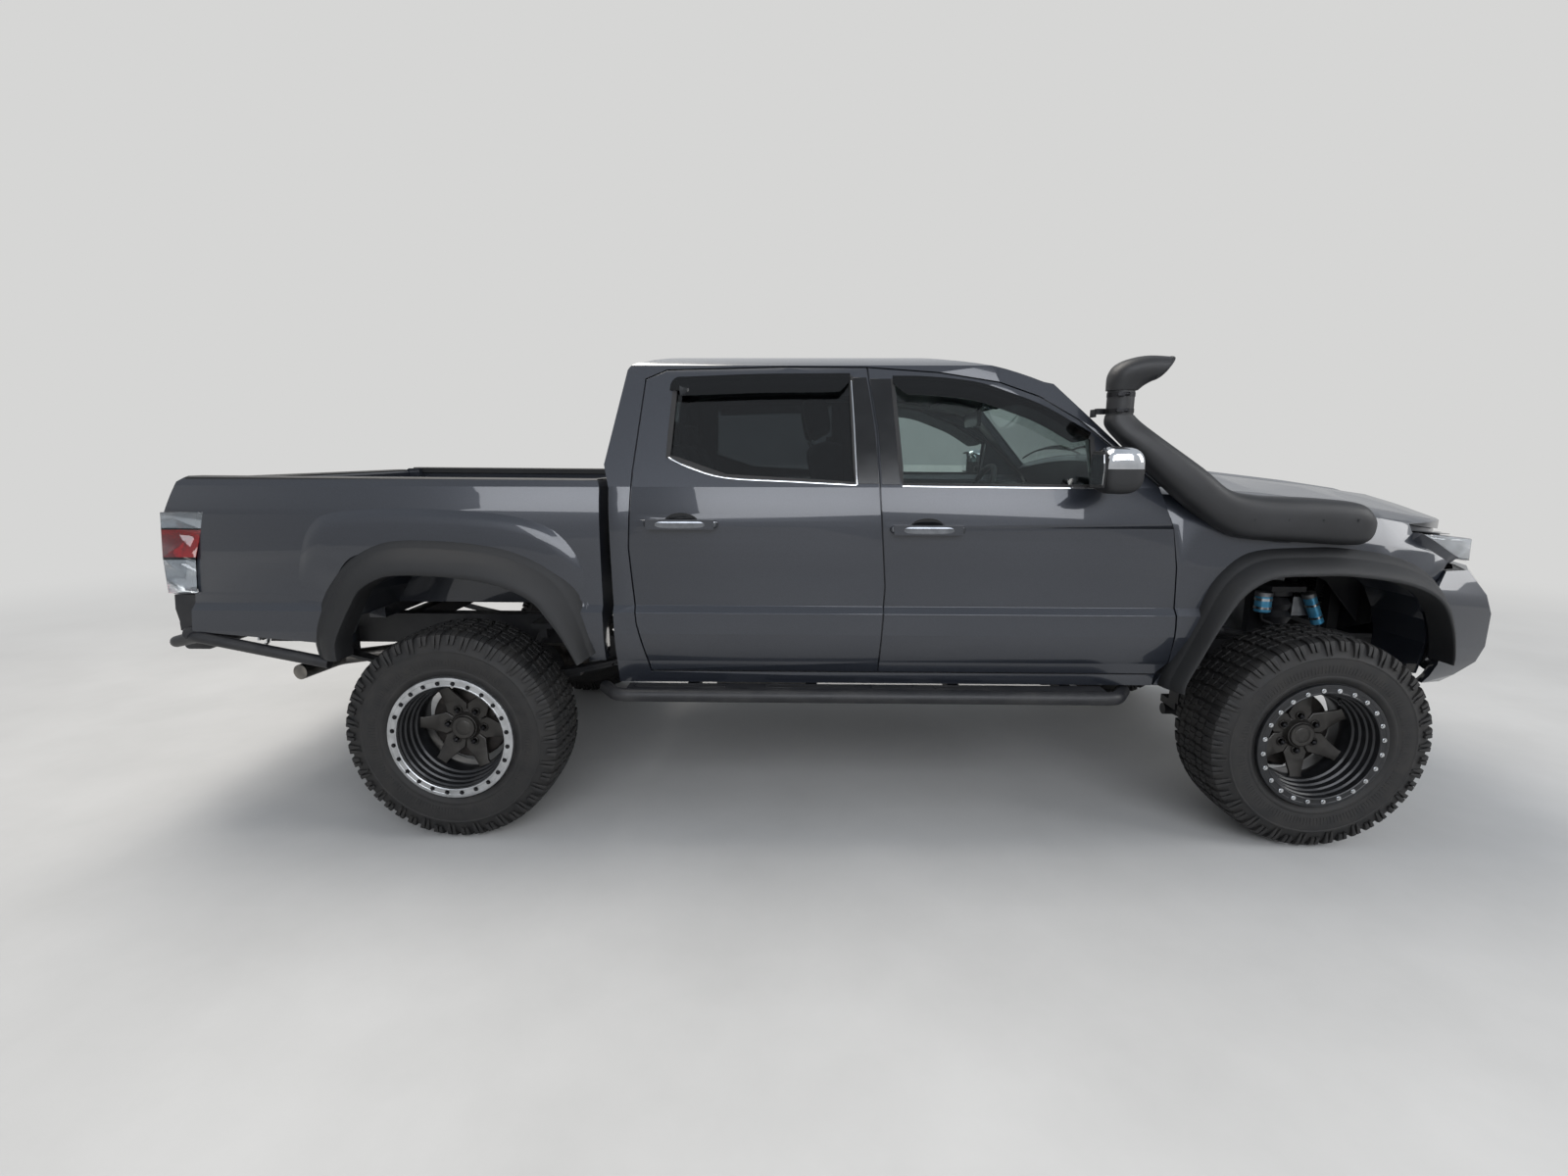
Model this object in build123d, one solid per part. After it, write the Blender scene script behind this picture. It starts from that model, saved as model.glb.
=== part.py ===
from build123d import *
import os
from math import hypot

os.makedirs("parts", exist_ok=True)

# A lifted double-cab pickup with a short bed, snorkel, arch flares, rock sliders and
# bead-lock wheels. +X points forward, +Y to the truck's left, +Z up. The origin is on the
# ground, under the middle of the overall box. All sizes are millimetres.

# Running gear
wheelbase = 3235
front_axle_x = 1777.5
rear_axle_x = front_axle_x - wheelbase
tyre_radius = 412
tyre_width = 287
half_track = 861.5
rim_radius = 214
rim_width = 252
axle_z = tyre_radius

# The body is drawn with its wheel centres 412 above the ground and rides up with the tyres
drawn_axle_z = 412
body_rise = axle_z - drawn_axle_z

# Panels
panel_gap = 5
seat_gap = 0.3
skin = 30
flange_thick = 20
swing_room = 24
glass_thick = 6
glass_depth = 12

door_inner_y = 636

# Ladder frame
rail_outer_y = 465
rail_wide = 70
rail_high = 130
rail_mid_z = 480
rail_rear_z = 640
rail_front_z = 560

# Cab
floor_z = 650
floor_thick = 40
sill_inner_y = 700
cab_rear_x = -840
bed_front_x = -885
bed_rear_x = -2520
bed_floor_z = 890
tailgate_thick = 70
crown_sag = 90
pillar_top = (766, 1734)
pillar_foot = (1193, 1354)

# Steering
kingpin_low = (748, 300)
kingpin_high = (672, 705)
hub_face_y = 760


# Helpers
def outline(rows):
    """Closed flat outline from rows of (across, up, sagitta of the edge to the next row)."""
    edges = []
    for here, there in zip(rows, rows[1:] + rows[:1]):
        bulge = here[2] if len(here) > 2 else 0
        start = here[:2]
        end = there[:2]
        edges.append(SagittaArc(start, end, bulge) if bulge else Line(start, end))
    return make_face(edges)


def pulled(points, amounts):
    """Polygon points with each edge moved inwards by its own amount."""
    count = len(points)
    area = sum(points[i][0] * points[(i + 1) % count][1] - points[(i + 1) % count][0] * points[i][1]
               for i in range(count))
    turn = 1 if area > 0 else -1
    lines = []
    for i in range(count):
        x1, z1 = points[i][:2]
        x2, z2 = points[(i + 1) % count][:2]
        length = hypot(x2 - x1, z2 - z1)
        across = (-turn * (z2 - z1) / length, turn * (x2 - x1) / length)
        lines.append((across, across[0] * x1 + across[1] * z1 + amounts[i]))
    moved = []
    for i in range(count):
        (a1, b1), c1 = lines[i - 1]
        (a2, b2), c2 = lines[i]
        scale = a1 * b2 - a2 * b1
        moved.append(((c1 * b2 - c2 * b1) / scale, (a1 * c2 - a2 * c1) / scale))
    return moved


def grown(points, amount):
    """Polygon points with every edge moved outwards by one amount."""
    return pulled(points, [-amount] * len(points))


def both_halves(rows, top_bulge=0):
    """Rows of one side from the top down, and their mirror back up to the top."""
    half = [(row[0], row[1], row[2] if len(row) > 2 else 0) for row in rows]
    other = []
    for index in range(len(half) - 1, -1, -1):
        bulge = half[index - 1][2] if index else top_bulge
        other.append((-half[index][0], half[index][1], bulge))
    return half + other


def from_side(face, y_from, y_to):
    """Prism of an (x, z) outline between two y planes."""
    plane = Plane(origin=(0, max(y_from, y_to), 0), x_dir=(1, 0, 0), z_dir=(0, -1, 0))
    return extrude(plane * face, abs(y_to - y_from), dir=(0, -1, 0))


def from_front(face, x_from, x_to):
    """Prism of a (y, z) outline between two x planes."""
    plane = Plane(origin=(x_from, 0, 0), x_dir=(0, 1, 0), z_dir=(1, 0, 0))
    return extrude(plane * face, x_to - x_from, dir=(1, 0, 0))


def from_above(face, z_from, z_to):
    """Prism of an (x, y) outline between two heights."""
    return extrude(Plane.XY.offset(z_from) * face, z_to - z_from, dir=(0, 0, 1))


def block(x_from, x_to, y_from, y_to, z_from, z_to):
    size = (x_to - x_from, y_to - y_from, z_to - z_from)
    middle = ((x_from + x_to) / 2, (y_from + y_to) / 2, (z_from + z_to) / 2)
    return Pos(*middle) * Box(*size)


def rod(start, end, radius):
    """Round bar between two points."""
    along = Vector(*end) - Vector(*start)
    return Plane(origin=start, z_dir=along) * Cylinder(
        radius, along.length, align=(Align.CENTER, Align.CENTER, Align.MIN))


def bent_tube(points, radius, bends):
    """Round tube along straight runs joined by tangent arcs."""
    path = FilletPolyline(*points, radius=bends)
    section = Plane(origin=path @ 0, z_dir=path % 0) * Circle(radius)
    return sweep(section, path=path)


def other_side(shape):
    return mirror(shape, about=Plane.XZ)


def pair(shape):
    return Compound([*shape.solids(), *other_side(shape).solids()])


def only_solids(shape):
    solids = shape.solids()
    return solids[0] if len(solids) == 1 else Compound(list(solids))


def save(name, shape, rise=body_rise):
    placed = Pos(0, 0, rise) * only_solids(shape)
    export_step(placed, "parts/" + name + ".step")
    print(name, len(placed.solids()))


# Body sections, looking along X: (half width, height, sagitta to the next row)
cab_section_rows = [
    (560, 1838, 6), (680, 1796, 0), (862, 1345, 5), (890, 1200, 3), (894, 906, 0),
    (914, 880, 0), (915, 800, 4), (893, 690, 0), (872, 600, 0)]
cavity_rows = [
    (520, 1796, 4), (622, 1764, 0), (800, 1345, 0), (766, 1320, 0), (766, 730, 0),
    (700, 690, 0)]


def inset_rows(rows, amount):
    return [(row[0] - amount, row[1] - (amount if index == 0 else 0), row[2])
            for index, row in enumerate(rows)]


cab_section = outline(both_halves(cab_section_rows, 13))
skin_section = outline(both_halves(inset_rows(cab_section_rows, flange_thick), 13))
cavity_section = outline(both_halves(cavity_rows, 12))


def pane_section(depth):
    """Section of the cab pulled in by a glass depth."""
    return outline(both_halves(inset_rows(cab_section_rows, depth), 13))


# Cab, side view
cab_profile = outline([
    (cab_rear_x, 600, 0), (-856, 1340, 0), (-878, 1425, 0), (-809, 1778, 9),
    (-753, 1812, 6), (-613, 1838, 8), (-217, 1851, 3), (105, 1848, 8), (416, 1824, 4),
    (627, 1783, 2), (766, 1734, 4), (1000, 1670, 0), (1372, 1322, 0), (1372, 1288, 0),
    (1310, 1270, 0), (1300, 600, 0)])
cavity_profile = outline([
    (cab_rear_x + 50, floor_z + floor_thick, 0), (-806, 1340, 0), (-828, 1425, 0),
    (-764, 1748, 9), (-600, 1794, 8), (-217, 1806, 3), (105, 1803, 8), (416, 1779, 4),
    (627, 1738, 2), (760, 1690, 4), (980, 1620, 0), (1330, 1310, 0), (1250, 1240, 0),
    (1250, floor_z + floor_thick, 0)])

slope_x = pillar_foot[0] - pillar_top[0]
slope_z = pillar_foot[1] - pillar_top[1]
slope_length = hypot(slope_x, slope_z)
screen_down = (slope_x / slope_length, 0, slope_z / slope_length)
screen_out = (-screen_down[2], 0, screen_down[0])


def on_screen(face, depth_from, depth_to):
    """Prism of a (y, distance down the windscreen) outline between two depths below it."""
    origin = tuple(top - depth_to * out for top, out in
                   zip((pillar_top[0], 0, pillar_top[1]), screen_out))
    plane = Plane(origin=origin, x_dir=(0, -1, 0), z_dir=screen_out)
    return extrude(plane * face, depth_to - depth_from, dir=screen_out)


def screen_crown(depth):
    """Everything behind the curved windscreen surface, pulled in by a depth."""
    half = 1000
    sag = crown_sag * (half / 790) ** 2
    edge = crown_sag - sag - depth
    face = outline([(half, edge, 0), (half, -3000, 0), (-half, -3000, 0), (-half, edge, sag)])
    above = 2000
    origin = (pillar_top[0] - above * screen_down[0], 0, pillar_top[1] - above * screen_down[2])
    plane = Plane(origin=origin, x_dir=(0, 1, 0), z_dir=screen_down)
    return extrude(plane * face, above + 1600, dir=screen_down)


cab_outer = from_side(cab_profile, -1000, 1000) & from_front(cab_section, -1300, 1500)
cab_outer = cab_outer & screen_crown(0)
cab_cavity = from_side(cavity_profile, -900, 900) & from_front(cavity_section, -1300, 1500)
cab_cavity = cab_cavity & screen_crown(45)
skin_core = from_front(skin_section, -3000, 3000)

# Doors, side view: (x, z, inset of the jamb's edge to the next row, swing room inside it)
rear_door_rows = [
    (-712, 650, 22, swing_room), (-758, 840, 22, swing_room), (-781, 1120, 22, swing_room),
    (-768, 1405, 22, swing_room), (-735, 1742, 10, swing_room), (-657, 1776, 10, 0),
    (-212, 1788, 10, 0), (101, 1786, 40, 0), (134, 1549, 40, 0), (144, 1300, 40, 0),
    (166, 977, 40, 0), (148, 650, 15, 28)]
front_door_rows = [
    (153, 650, 30, swing_room), (171, 977, 30, swing_room), (149, 1300, 30, swing_room),
    (139, 1549, 30, swing_room), (106, 1786, 10, 0), (379, 1766, 10, 0), (600, 1730, 10, 0),
    (747, 1676, 10, 0), (892, 1586, 10, 0), (1158, 1350, 10, 0), (1211, 1199, 10, 0),
    (1231, 1056, 10, 0), (1241, 836, 10, 0), (1236, 694, 12, 0), (1196, 650, 15, 28)]
rear_window = [
    (-640, 1455), (-622, 1733), (-300, 1748), (41, 1752), (58, 1356), (-424, 1382)]
front_window = [
    (226, 1352), (197, 1742), (360, 1738), (529, 1714), (745, 1634), (928, 1524), (928, 1348)]


def make_door(rows, window, handle_x, handle_z):
    """One right-hand door, its glass and the cutter for its opening."""
    leaf = pulled(rows, [row[2] + row[3] for row in rows])
    jamb = pulled(rows, [row[2] for row in rows])
    edge = [row[:2] for row in rows]
    sheet = from_side(outline(edge), -1000, -door_inner_y)
    rim = sheet - from_side(outline(leaf), -1100, -500)
    door = (sheet & cab_outer) - cab_cavity - (rim & skin_core)
    door = door - from_side(outline(window), -1000, -500)
    grip = block(handle_x, handle_x + 250, -928, -914, handle_z - 18, handle_z + 18)
    stems = block(handle_x + 6, handle_x + 50, -918, -872, handle_z - 12, handle_z + 12)
    stems = stems + Pos(194, 0, 0) * stems
    door = door + grip + stems
    pane = from_side(outline(grown(window, -seat_gap)), -1000, -500)
    pane = pane & from_front(pane_section(glass_depth), -1300, 1500)
    pane = pane - from_front(pane_section(glass_depth + glass_thick), -1300, 1500)
    cutter = from_side(outline(grown(edge, panel_gap)), -1000, -door_inner_y) - skin_core
    cutter = cutter + from_side(outline(grown(jamb, panel_gap)), -1000, -door_inner_y)
    return door, pane, cutter


rear_door, rear_pane, rear_cut = make_door(rear_door_rows, rear_window, -712, 1212)
front_door, front_pane, front_cut = make_door(front_door_rows, front_window, 192, 1195)
for name, door, pane in (("front", front_door, front_pane), ("rear", rear_door, rear_pane)):
    save("door_" + name + "_right", door)
    save("door_" + name + "_left", other_side(door))
    save("glass_" + name + "_right", pane)
    save("glass_" + name + "_left", other_side(pane))

# Front body: whole-width stations along X, each (half width, height) from the bulge edge down
front_stations = [
    (1100, [(430, 1376), (750, 1352), (825, 1326), (878, 1240), (893, 1060), (894, 906),
            (914, 880), (915, 800), (893, 690), (872, 600)]),
    (1250, [(430, 1378), (750, 1348), (825, 1320), (880, 1235), (894, 1060), (894, 906),
            (914, 880), (915, 800), (893, 690), (872, 600)]),
    (1600, [(430, 1384), (748, 1322), (828, 1290), (884, 1190), (896, 1050), (896, 906),
            (914, 880), (915, 800), (893, 690), (872, 600)]),
    (2000, [(420, 1338), (745, 1272), (822, 1236), (876, 1140), (892, 1030), (892, 906),
            (904, 880), (904, 800), (885, 690), (865, 600)]),
    (2260, [(395, 1302), (715, 1226), (775, 1196), (835, 1110), (858, 1020), (862, 906),
            (872, 880), (872, 800), (852, 690), (830, 600)]),
    (2440, [(360, 1256), (600, 1204), (655, 1180), (715, 1110), (745, 1020), (750, 906),
            (756, 880), (756, 800), (740, 690), (720, 600)]),
    (2545, [(300, 1222), (430, 1190), (470, 1168), (520, 1105), (545, 1020), (550, 906),
            (552, 880), (552, 800), (545, 690), (535, 600)])]


def front_body(depth):
    """The front end as one lofted block, pulled in by a depth."""
    faces = []
    for x, rows in front_stations:
        moved = [(y - depth, z - (depth if i < 3 else 0), 0) for i, (y, z) in enumerate(rows)]
        plane = Plane(origin=(x, 0, 0), x_dir=(0, 1, 0), z_dir=(1, 0, 0))
        faces.append(plane * outline(both_halves(moved)))
    return loft(faces, ruled=True)


# Nose: plan outline at one height, (height, set back, narrower by)
nose_levels = [
    (612, 120, 30), (646, 85, 12), (700, 25, 0), (760, 0, 0), (885, 0, 0), (955, 24, 5),
    (1048, 92, 25), (1158, 88, 35), (1215, 130, 60)]
nose_front_x = 2684
nose_corner = (2534, 740)
nose_cheek = (2430, 862)
nose_side = (2210, 915)
nose_back_x = 2060


def nose_body(depth):
    """Bumper and fascia as one lofted block, pulled in by a depth."""
    faces = []
    for z, back, narrow in nose_levels:
        x_in = back + depth
        y_in = narrow + depth
        side_y = nose_side[1] - y_in
        cheek = (nose_cheek[0] - x_in, nose_cheek[1] - y_in)
        corner = (nose_corner[0] - x_in, nose_corner[1] - y_in)
        rows = [(nose_back_x, side_y, 0), (nose_side[0] - back, side_y, 0), (*cheek, 0),
                (*corner, nose_front_x - nose_corner[0]), (corner[0], -corner[1], 0),
                (cheek[0], -cheek[1], 0), (nose_side[0] - back, -side_y, 0),
                (nose_back_x, -side_y, 0)]
        faces.append(Plane.XY.offset(z) * outline(rows))
    return loft(faces, ruled=True)


# Arches, side view of one opening from the rear foot over the top to the front foot
front_arch = [
    (1263, 560), (1263, 626), (1311, 739), (1363, 850), (1427, 959), (1494, 1018),
    (1560, 1040), (1800, 1044), (1968, 1022), (2077, 985), (2140, 935), (2180, 855),
    (2204, 764), (2204, 560)]
rear_arch = [
    (-1860, 640), (-1860, 772), (-1826, 847), (-1790, 911), (-1749, 972), (-1680, 1014),
    (-1606, 1028), (-1461, 1025), (-1318, 1009), (-1211, 980), (-1124, 933), (-1073, 871),
    (-1023, 797), (-967, 684), (-967, 640)]
flare_band = 92
arch_lip = 22
flare_out_y = 992
flare_taper = 34

# Cab shell
under_floor = block(-1300, 1500, -sill_inner_y, sill_inner_y, 0, floor_z)
cowl_zone = from_side(outline([
    (1196, 500, 0), (1196, 655, 0), (1229, 692, 0), (1235, 836, 0),
    (1225, 1056, 0), (1205, 1199, 0), (1153, 1350, 0), (1600, 1350, 0), (1600, 500, 0)]),
    -1000, -748)
cowl_skin = cowl_zone - (skin_core & front_body(skin + 2))
screen_points = [(570, 60), (722, 500), (-722, 500), (-570, 60)]
screen_face = outline(screen_points)
screen_hole = on_screen(screen_face, -200, 160)
back_down = (-878 + 809, 1425 - 1778)
back_length = hypot(*back_down)
back_out = (back_down[1] / back_length, 0, -back_down[0] / back_length)


def on_back(face, depth_from, depth_to):
    """Prism of a (y, distance down the rear window) outline between two depths below it."""
    origin = tuple(top - depth_to * out for top, out in zip((-809, 0, 1778), back_out))
    plane = Plane(origin=origin, x_dir=(0, 1, 0), z_dir=back_out)
    return extrude(plane * face, depth_to - depth_from, dir=back_out)


back_points = [(590, 46), (655, 318), (-655, 318), (-590, 46)]
back_hole = on_back(outline(back_points), -100, 160)
cab = cab_outer - cab_cavity - under_floor - cowl_skin - other_side(cowl_skin)
for cut in (front_cut, rear_cut):
    cab = cab - cut - other_side(cut)
arch_room = from_side(outline(grown(front_arch, arch_lip + 10)), -1000, -590)
cab = cab - screen_hole - back_hole - arch_room - other_side(arch_room)
save("cab", cab)

screen_pane_face = outline(grown(screen_points, -seat_gap))
windscreen = (screen_crown(10) - screen_crown(10 + glass_thick)) & on_screen(
    screen_pane_face, -200, 160)
back_pane_face = outline(grown(back_points, -seat_gap))
back_pane = on_back(back_pane_face, 12, 12 + glass_thick)
save("cab_glass", Compound([*windscreen.solids(), *back_pane.solids()]))

# Bed: side walls with wheelhouses, floor on cross sills, front wall
bed_top_z = 1367
bed_low_front_z = 690
bed_low_rear_z = 808
bed_profile = outline([
    (bed_front_x, bed_low_front_z), (bed_front_x - 6, bed_top_z - 24),
    (bed_front_x - 12, bed_top_z), (-2450, bed_top_z + 8), (-2478, bed_top_z - 8),
    (bed_rear_x, 1240), (bed_rear_x, 940), (-2438, 940), (-2453, bed_low_rear_z),
    (-2453, bed_low_rear_z - 10),
    (-2000, 757), (-1860, 740), (-1000, bed_low_front_z)])
bed_section = from_front(cab_section, -3000, 3000)
bed_block = from_side(bed_profile, -1000, 1000) & bed_section
wheelhouse_inner_y = 560
house_wall = 25
arch_cut_rear = from_side(outline(grown(rear_arch, arch_lip)), -1000, -wheelhouse_inner_y)
bed_inner_y = 776
tailgate_half = 716
bed = bed_block
bed_post_x = bed_rear_x + 130
bed = bed - block(bed_post_x, bed_front_x - 60, -bed_inner_y, bed_inner_y, bed_floor_z, 2000)
bed = bed - block(-3000, bed_post_x, -tailgate_half - panel_gap, tailgate_half + panel_gap,
                  bed_floor_z, 2000)
bed = bed - block(-3000, 0, -830, 830, 500, bed_floor_z - 45)
bed = bed - block(-3000, bed_rear_x + tailgate_thick + 8, -tailgate_half - panel_gap,
                  tailgate_half + panel_gap, 500, 2000)
house = from_side(outline(grown(rear_arch, arch_lip + house_wall)), -bed_inner_y - 20,
                  -wheelhouse_inner_y + house_wall)
house = house & block(-3000, 0, -1000, 0, bed_floor_z - 45, 2000)
bed = bed + house + other_side(house)
bed = bed - arch_cut_rear - other_side(arch_cut_rear)
frame_top_rear = rail_rear_z + rail_high
for sill_x in (-2300, -1960, -1000):
    bed = bed + block(sill_x - 35, sill_x + 35, -rail_outer_y - 80, rail_outer_y + 80,
                      frame_top_rear + seat_gap, bed_floor_z - 45)

# Lamps cut from the corners
tail_lamp_rows = [(-2700, 1246), (-2371, 1247), (-2384, 1180), (-2412, 1070), (-2424, 958),
                  (-2424, 944), (-2700, 944)]
lamp_zone = from_side(outline(tail_lamp_rows), -1000, -778)
lamp_room = from_side(outline(grown(tail_lamp_rows, seat_gap)), -1000, -778 + seat_gap)
tail_lamp = lamp_zone & from_front(outline(both_halves([(845, 1400, 0), (884, 1246, 0),
                                                        (902, 1080, 0), (902, 800, 0)])), -2534, -2300)
bed = bed - lamp_room - other_side(lamp_room)
save("bed", bed)
save("tail_lamps", pair(tail_lamp))

# Tailgate
tailgate_low_z = 925
tailgate = block(bed_rear_x, bed_rear_x + tailgate_thick, -tailgate_half, tailgate_half,
                 tailgate_low_z, bed_top_z - 4)
tailgate = fillet(tailgate.edges().filter_by(Axis.Y).sort_by(Axis.Z)[-2:], 14)
handle_pocket = block(bed_rear_x - 1, bed_rear_x + 25, -110, 110, 1225, 1300)
handle = block(bed_rear_x + 6, bed_rear_x + 25, -85, 85, 1250, 1290)
tailgate = tailgate - handle_pocket + handle
gate_pin = (bed_rear_x + 30, tailgate_low_z + 30)
for side in (-1, 1):
    tailgate = tailgate + rod((gate_pin[0], side * 700, gate_pin[1]),
                              (gate_pin[0], side * (tailgate_half + panel_gap - seat_gap),
                               gate_pin[1]), 12)
save("tailgate", tailgate)

# Front fenders
fender_rows = [
    (1201, 600), (1241, 690), (1246, 836), (1236, 1056), (1216, 1199), (1163, 1348),
    (1163, 1420), (2500, 1420), (2500, 1214), (2126, 1214), (2126, 1186), (2264, 1090),
    (2186, 990), (2186, 600)]
hood_plan = [
    (1262, 742), (1600, 740), (2000, 737), (2260, 707), (2395, 617), (2462, 520),
    (2508, 380), (2532, 200), (2538, 0)]
hood_rear = [(1262, 742), (1330, 480), (1385, 240), (1405, 0)]
hood_points = hood_plan + [(x, -y) for x, y in hood_plan[-2::-1]]
hood_points = hood_points + [(x, -y) for x, y in hood_rear[1:]] + [
    (x, y) for x, y in hood_rear[-2:0:-1]]
hood_thick = 34
front_outer = front_body(0)
hood_prism = from_above(outline(hood_points), 900, 1600)
hood = (front_outer - Pos(0, 0, -hood_thick) * front_outer) & hood_prism
hood = hood & from_above(outline([(1200, -1000), (1200, 1000), (2700, 1000), (2700, -1000)]),
                         1120, 1600)
hood_pin = (1275, 1331)
for side in (-1, 1):
    hood = hood + rod((hood_pin[0], side * 730, hood_pin[1]),
                      (hood_pin[0], side * (742 + panel_gap - seat_gap), hood_pin[1]), 8)
save("hood", hood)

fender_shell = front_outer - front_body(skin)
fender_prism = from_side(outline(fender_rows), -1000, -500)
front_arch_cut = from_side(outline(grown(front_arch, arch_lip)), -1100, -400)
hood_room = from_above(outline(grown(hood_points, panel_gap)), 500, 1600)
scuttle_room = block(1100, 1262, -748 - panel_gap, 0, 1150, 1500)
fender = (fender_shell & fender_prism) - hood_room - front_arch_cut - scuttle_room
liner = from_side(outline(grown(front_arch, arch_lip + 4)), -900, -600) - from_side(
    outline(grown(front_arch, arch_lip - 8)), -950, -500)
liner = liner & block(1200, 2500, -900, -600, 640, 1200)
liner = liner & front_body(skin - 5)
fender = fender + liner
fender = max(fender.solids(), key=lambda solid: solid.volume)
save("front_fenders", pair(fender))

# Nose pieces
nose_outer = nose_body(0)
nose_shell = nose_outer - nose_body(skin)
grille_points = [(505, 1150), (511, 1060), (520, 1000), (420, 770), (-420, 770),
                 (-520, 1000), (-511, 1060), (-505, 1150)]
arch_room_front = from_side(outline(grown(front_arch, arch_lip)), -1100, 1100)
bumper = nose_shell & block(2190, 2800, -1000, 1000, 612, 1046)
bumper = bumper & from_side(outline([
    (2186, 600), (2186, 985), (2272, 1086), (2800, 1086), (2800, 600)]), -1000, 1000)
bumper = bumper - arch_room_front
bumper = bumper - from_front(outline(grille_points), 2200, 2800)
fog_hole = from_front(Pos(660, 760) * Circle(58), 2200, 2800)
bumper = bumper - fog_hole - other_side(fog_hole)
frame_front_x = 2440
stay = block(frame_front_x + seat_gap, 2590, rail_outer_y - rail_wide, rail_outer_y, 630, 680)
stay = stay & nose_body(skin - 2)
bumper = bumper + stay + other_side(stay)
save("front_bumper", bumper)

grille = (nose_body(10) - nose_body(44)) & from_front(
    outline(grown(grille_points, -seat_gap)), 2200, 2800)
slot_rows = 9
slot_columns = 10
slot_high = 30
slot_wide = 78
slots = []
for row in range(slot_rows):
    z = 800 + row * 42
    for column in range(slot_columns):
        y = (column - (slot_columns - 1) / 2) * 88
        reach = abs(y) + slot_wide / 2
        limit = 395 + (z - slot_high / 2 - 770) * 100 / 230 if z < 1000 else 480
        if reach < limit and z < 1165:
            slots.append(block(2200, 2800, y - slot_wide / 2, y + slot_wide / 2,
                               z - slot_high / 2, z + slot_high / 2))
grille = grille - Compound(slots)
save("grille", grille)

lamp_rows = [(2132, 1182), (2480, 1146), (2480, 1056), (2288, 1092)]
headlamp = (nose_outer - nose_body(110)) & from_side(outline(lamp_rows), -1000, -516)
save("headlamps", pair(headlamp))

# Arch flares
flares = []
for arch in (front_arch, rear_arch):
    band = outline(grown(arch, flare_band))
    plane = Plane(origin=(0, -880, 0), x_dir=(1, 0, 0), z_dir=(0, -1, 0))
    cap = extrude(plane * band, flare_out_y - 880, dir=(0, -1, 0), taper=flare_taper)
    cap = cap - from_side(outline(arch), -1100, -800)
    low = 632 if arch is front_arch else 700
    cap = cap & block(-3000, 3000, -1100, -800, low, 1300)
    flares.append(cap)
body_mass = bed_section & block(-2600, 1245, -1000, 1000, 500, 1300)
body_mass = body_mass + (front_body(0) & block(1245, 2400, -1000, 1000, 500, 1300))
nose_mass = nose_outer & block(2186, 2800, -1000, 1000, 500, 1300)
flares = [(cap - Pos(0, -seat_gap, 0) * body_mass) - nose_mass for cap in flares]
flares = [cap - from_side(outline([
    (1100, 500), (1206, 500), (1206, 650), (1246, 694), (1252, 836), (1242, 1056), (1222, 1300),
    (1100, 1300)]), -1100, -700) if cap.bounding_box().max.X > 0 else cap for cap in flares]
flare = Compound([max(cap.solids(), key=lambda solid: solid.volume) for cap in flares])
save("flares", pair(flare))

# Ladder frame: side rails with a kick-up at each end, cross members, mounts and hangers
tank_rear_cross = -700
tank_front_cross = 60
gearbox_cross = 980
kick_rear_high = rear_axle_x + 340
kick_rear_low = rear_axle_x + 580
kick_front_low = front_axle_x - 475
kick_front_high = front_axle_x - 315
rail_rows = [
    (-2500, rail_rear_z), (-2500, rail_rear_z + rail_high),
    (kick_rear_high, rail_rear_z + rail_high), (kick_rear_low, rail_mid_z + rail_high),
    (kick_front_low, rail_mid_z + rail_high), (kick_front_high, rail_front_z + rail_high),
    (frame_front_x, rail_front_z + rail_high), (frame_front_x, rail_front_z + 30),
    (kick_front_high + 20, rail_front_z), (kick_front_low + 20, rail_mid_z),
    (kick_rear_low + 20, rail_mid_z), (kick_rear_high + 20, rail_rear_z)]
rail_inner_y = rail_outer_y - rail_wide
rail = from_side(outline(rail_rows), -rail_outer_y, -rail_inner_y)
cross_half = rail_inner_y - seat_gap
crosses = []
for x, z, deep in ((-2460, rail_rear_z + 40, 80), (-1900, rail_rear_z + 50, 70),
                   (-1180, rail_rear_z + 60, 70), (tank_rear_cross, rail_mid_z + 60, 60),
                   (tank_front_cross, rail_mid_z + 60, 60), (2280, rail_front_z + 40, 80)):
    crosses.append(block(x - 35, x + 35, -cross_half, cross_half, z, z + deep))
low_cross = block(gearbox_cross - 35, gearbox_cross + 35, -cross_half, cross_half,
                  rail_mid_z - 40, rail_mid_z - seat_gap)
for side in (-1, 1):
    low_cross = low_cross + block(gearbox_cross - 35, gearbox_cross + 35,
                                  side * (cross_half - 15) - 15, side * (cross_half - 15) + 15,
                                  rail_mid_z - 40, rail_mid_z + 40)
crosses.append(low_cross)
crosses.append(block(front_axle_x - 60, front_axle_x + 60, -cross_half, cross_half,
                     rail_front_z, rail_front_z + 40))
mount_y = 600
for x, low in ((-700, rail_mid_z + 60), (60, rail_mid_z + 60), (980, rail_mid_z + 60)):
    arm = block(x - 45, x + 45, -mount_y - 45, -rail_outer_y, low, low + 50)
    puck = Pos(x, -mount_y, (low + 50 + floor_z - seat_gap) / 2) * Cylinder(
        38, floor_z - seat_gap - low - 50)
    rail = rail + arm + puck

# Leaf springs and where they hang
spring_y = 520
spring_wide = 60
leaf = 12
eye_radius = 20
spring_front = (-830, 585)
spring_rear = (-2140, 590)
spring_sag = 100
spring_seat_z = axle_z + 60


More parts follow.
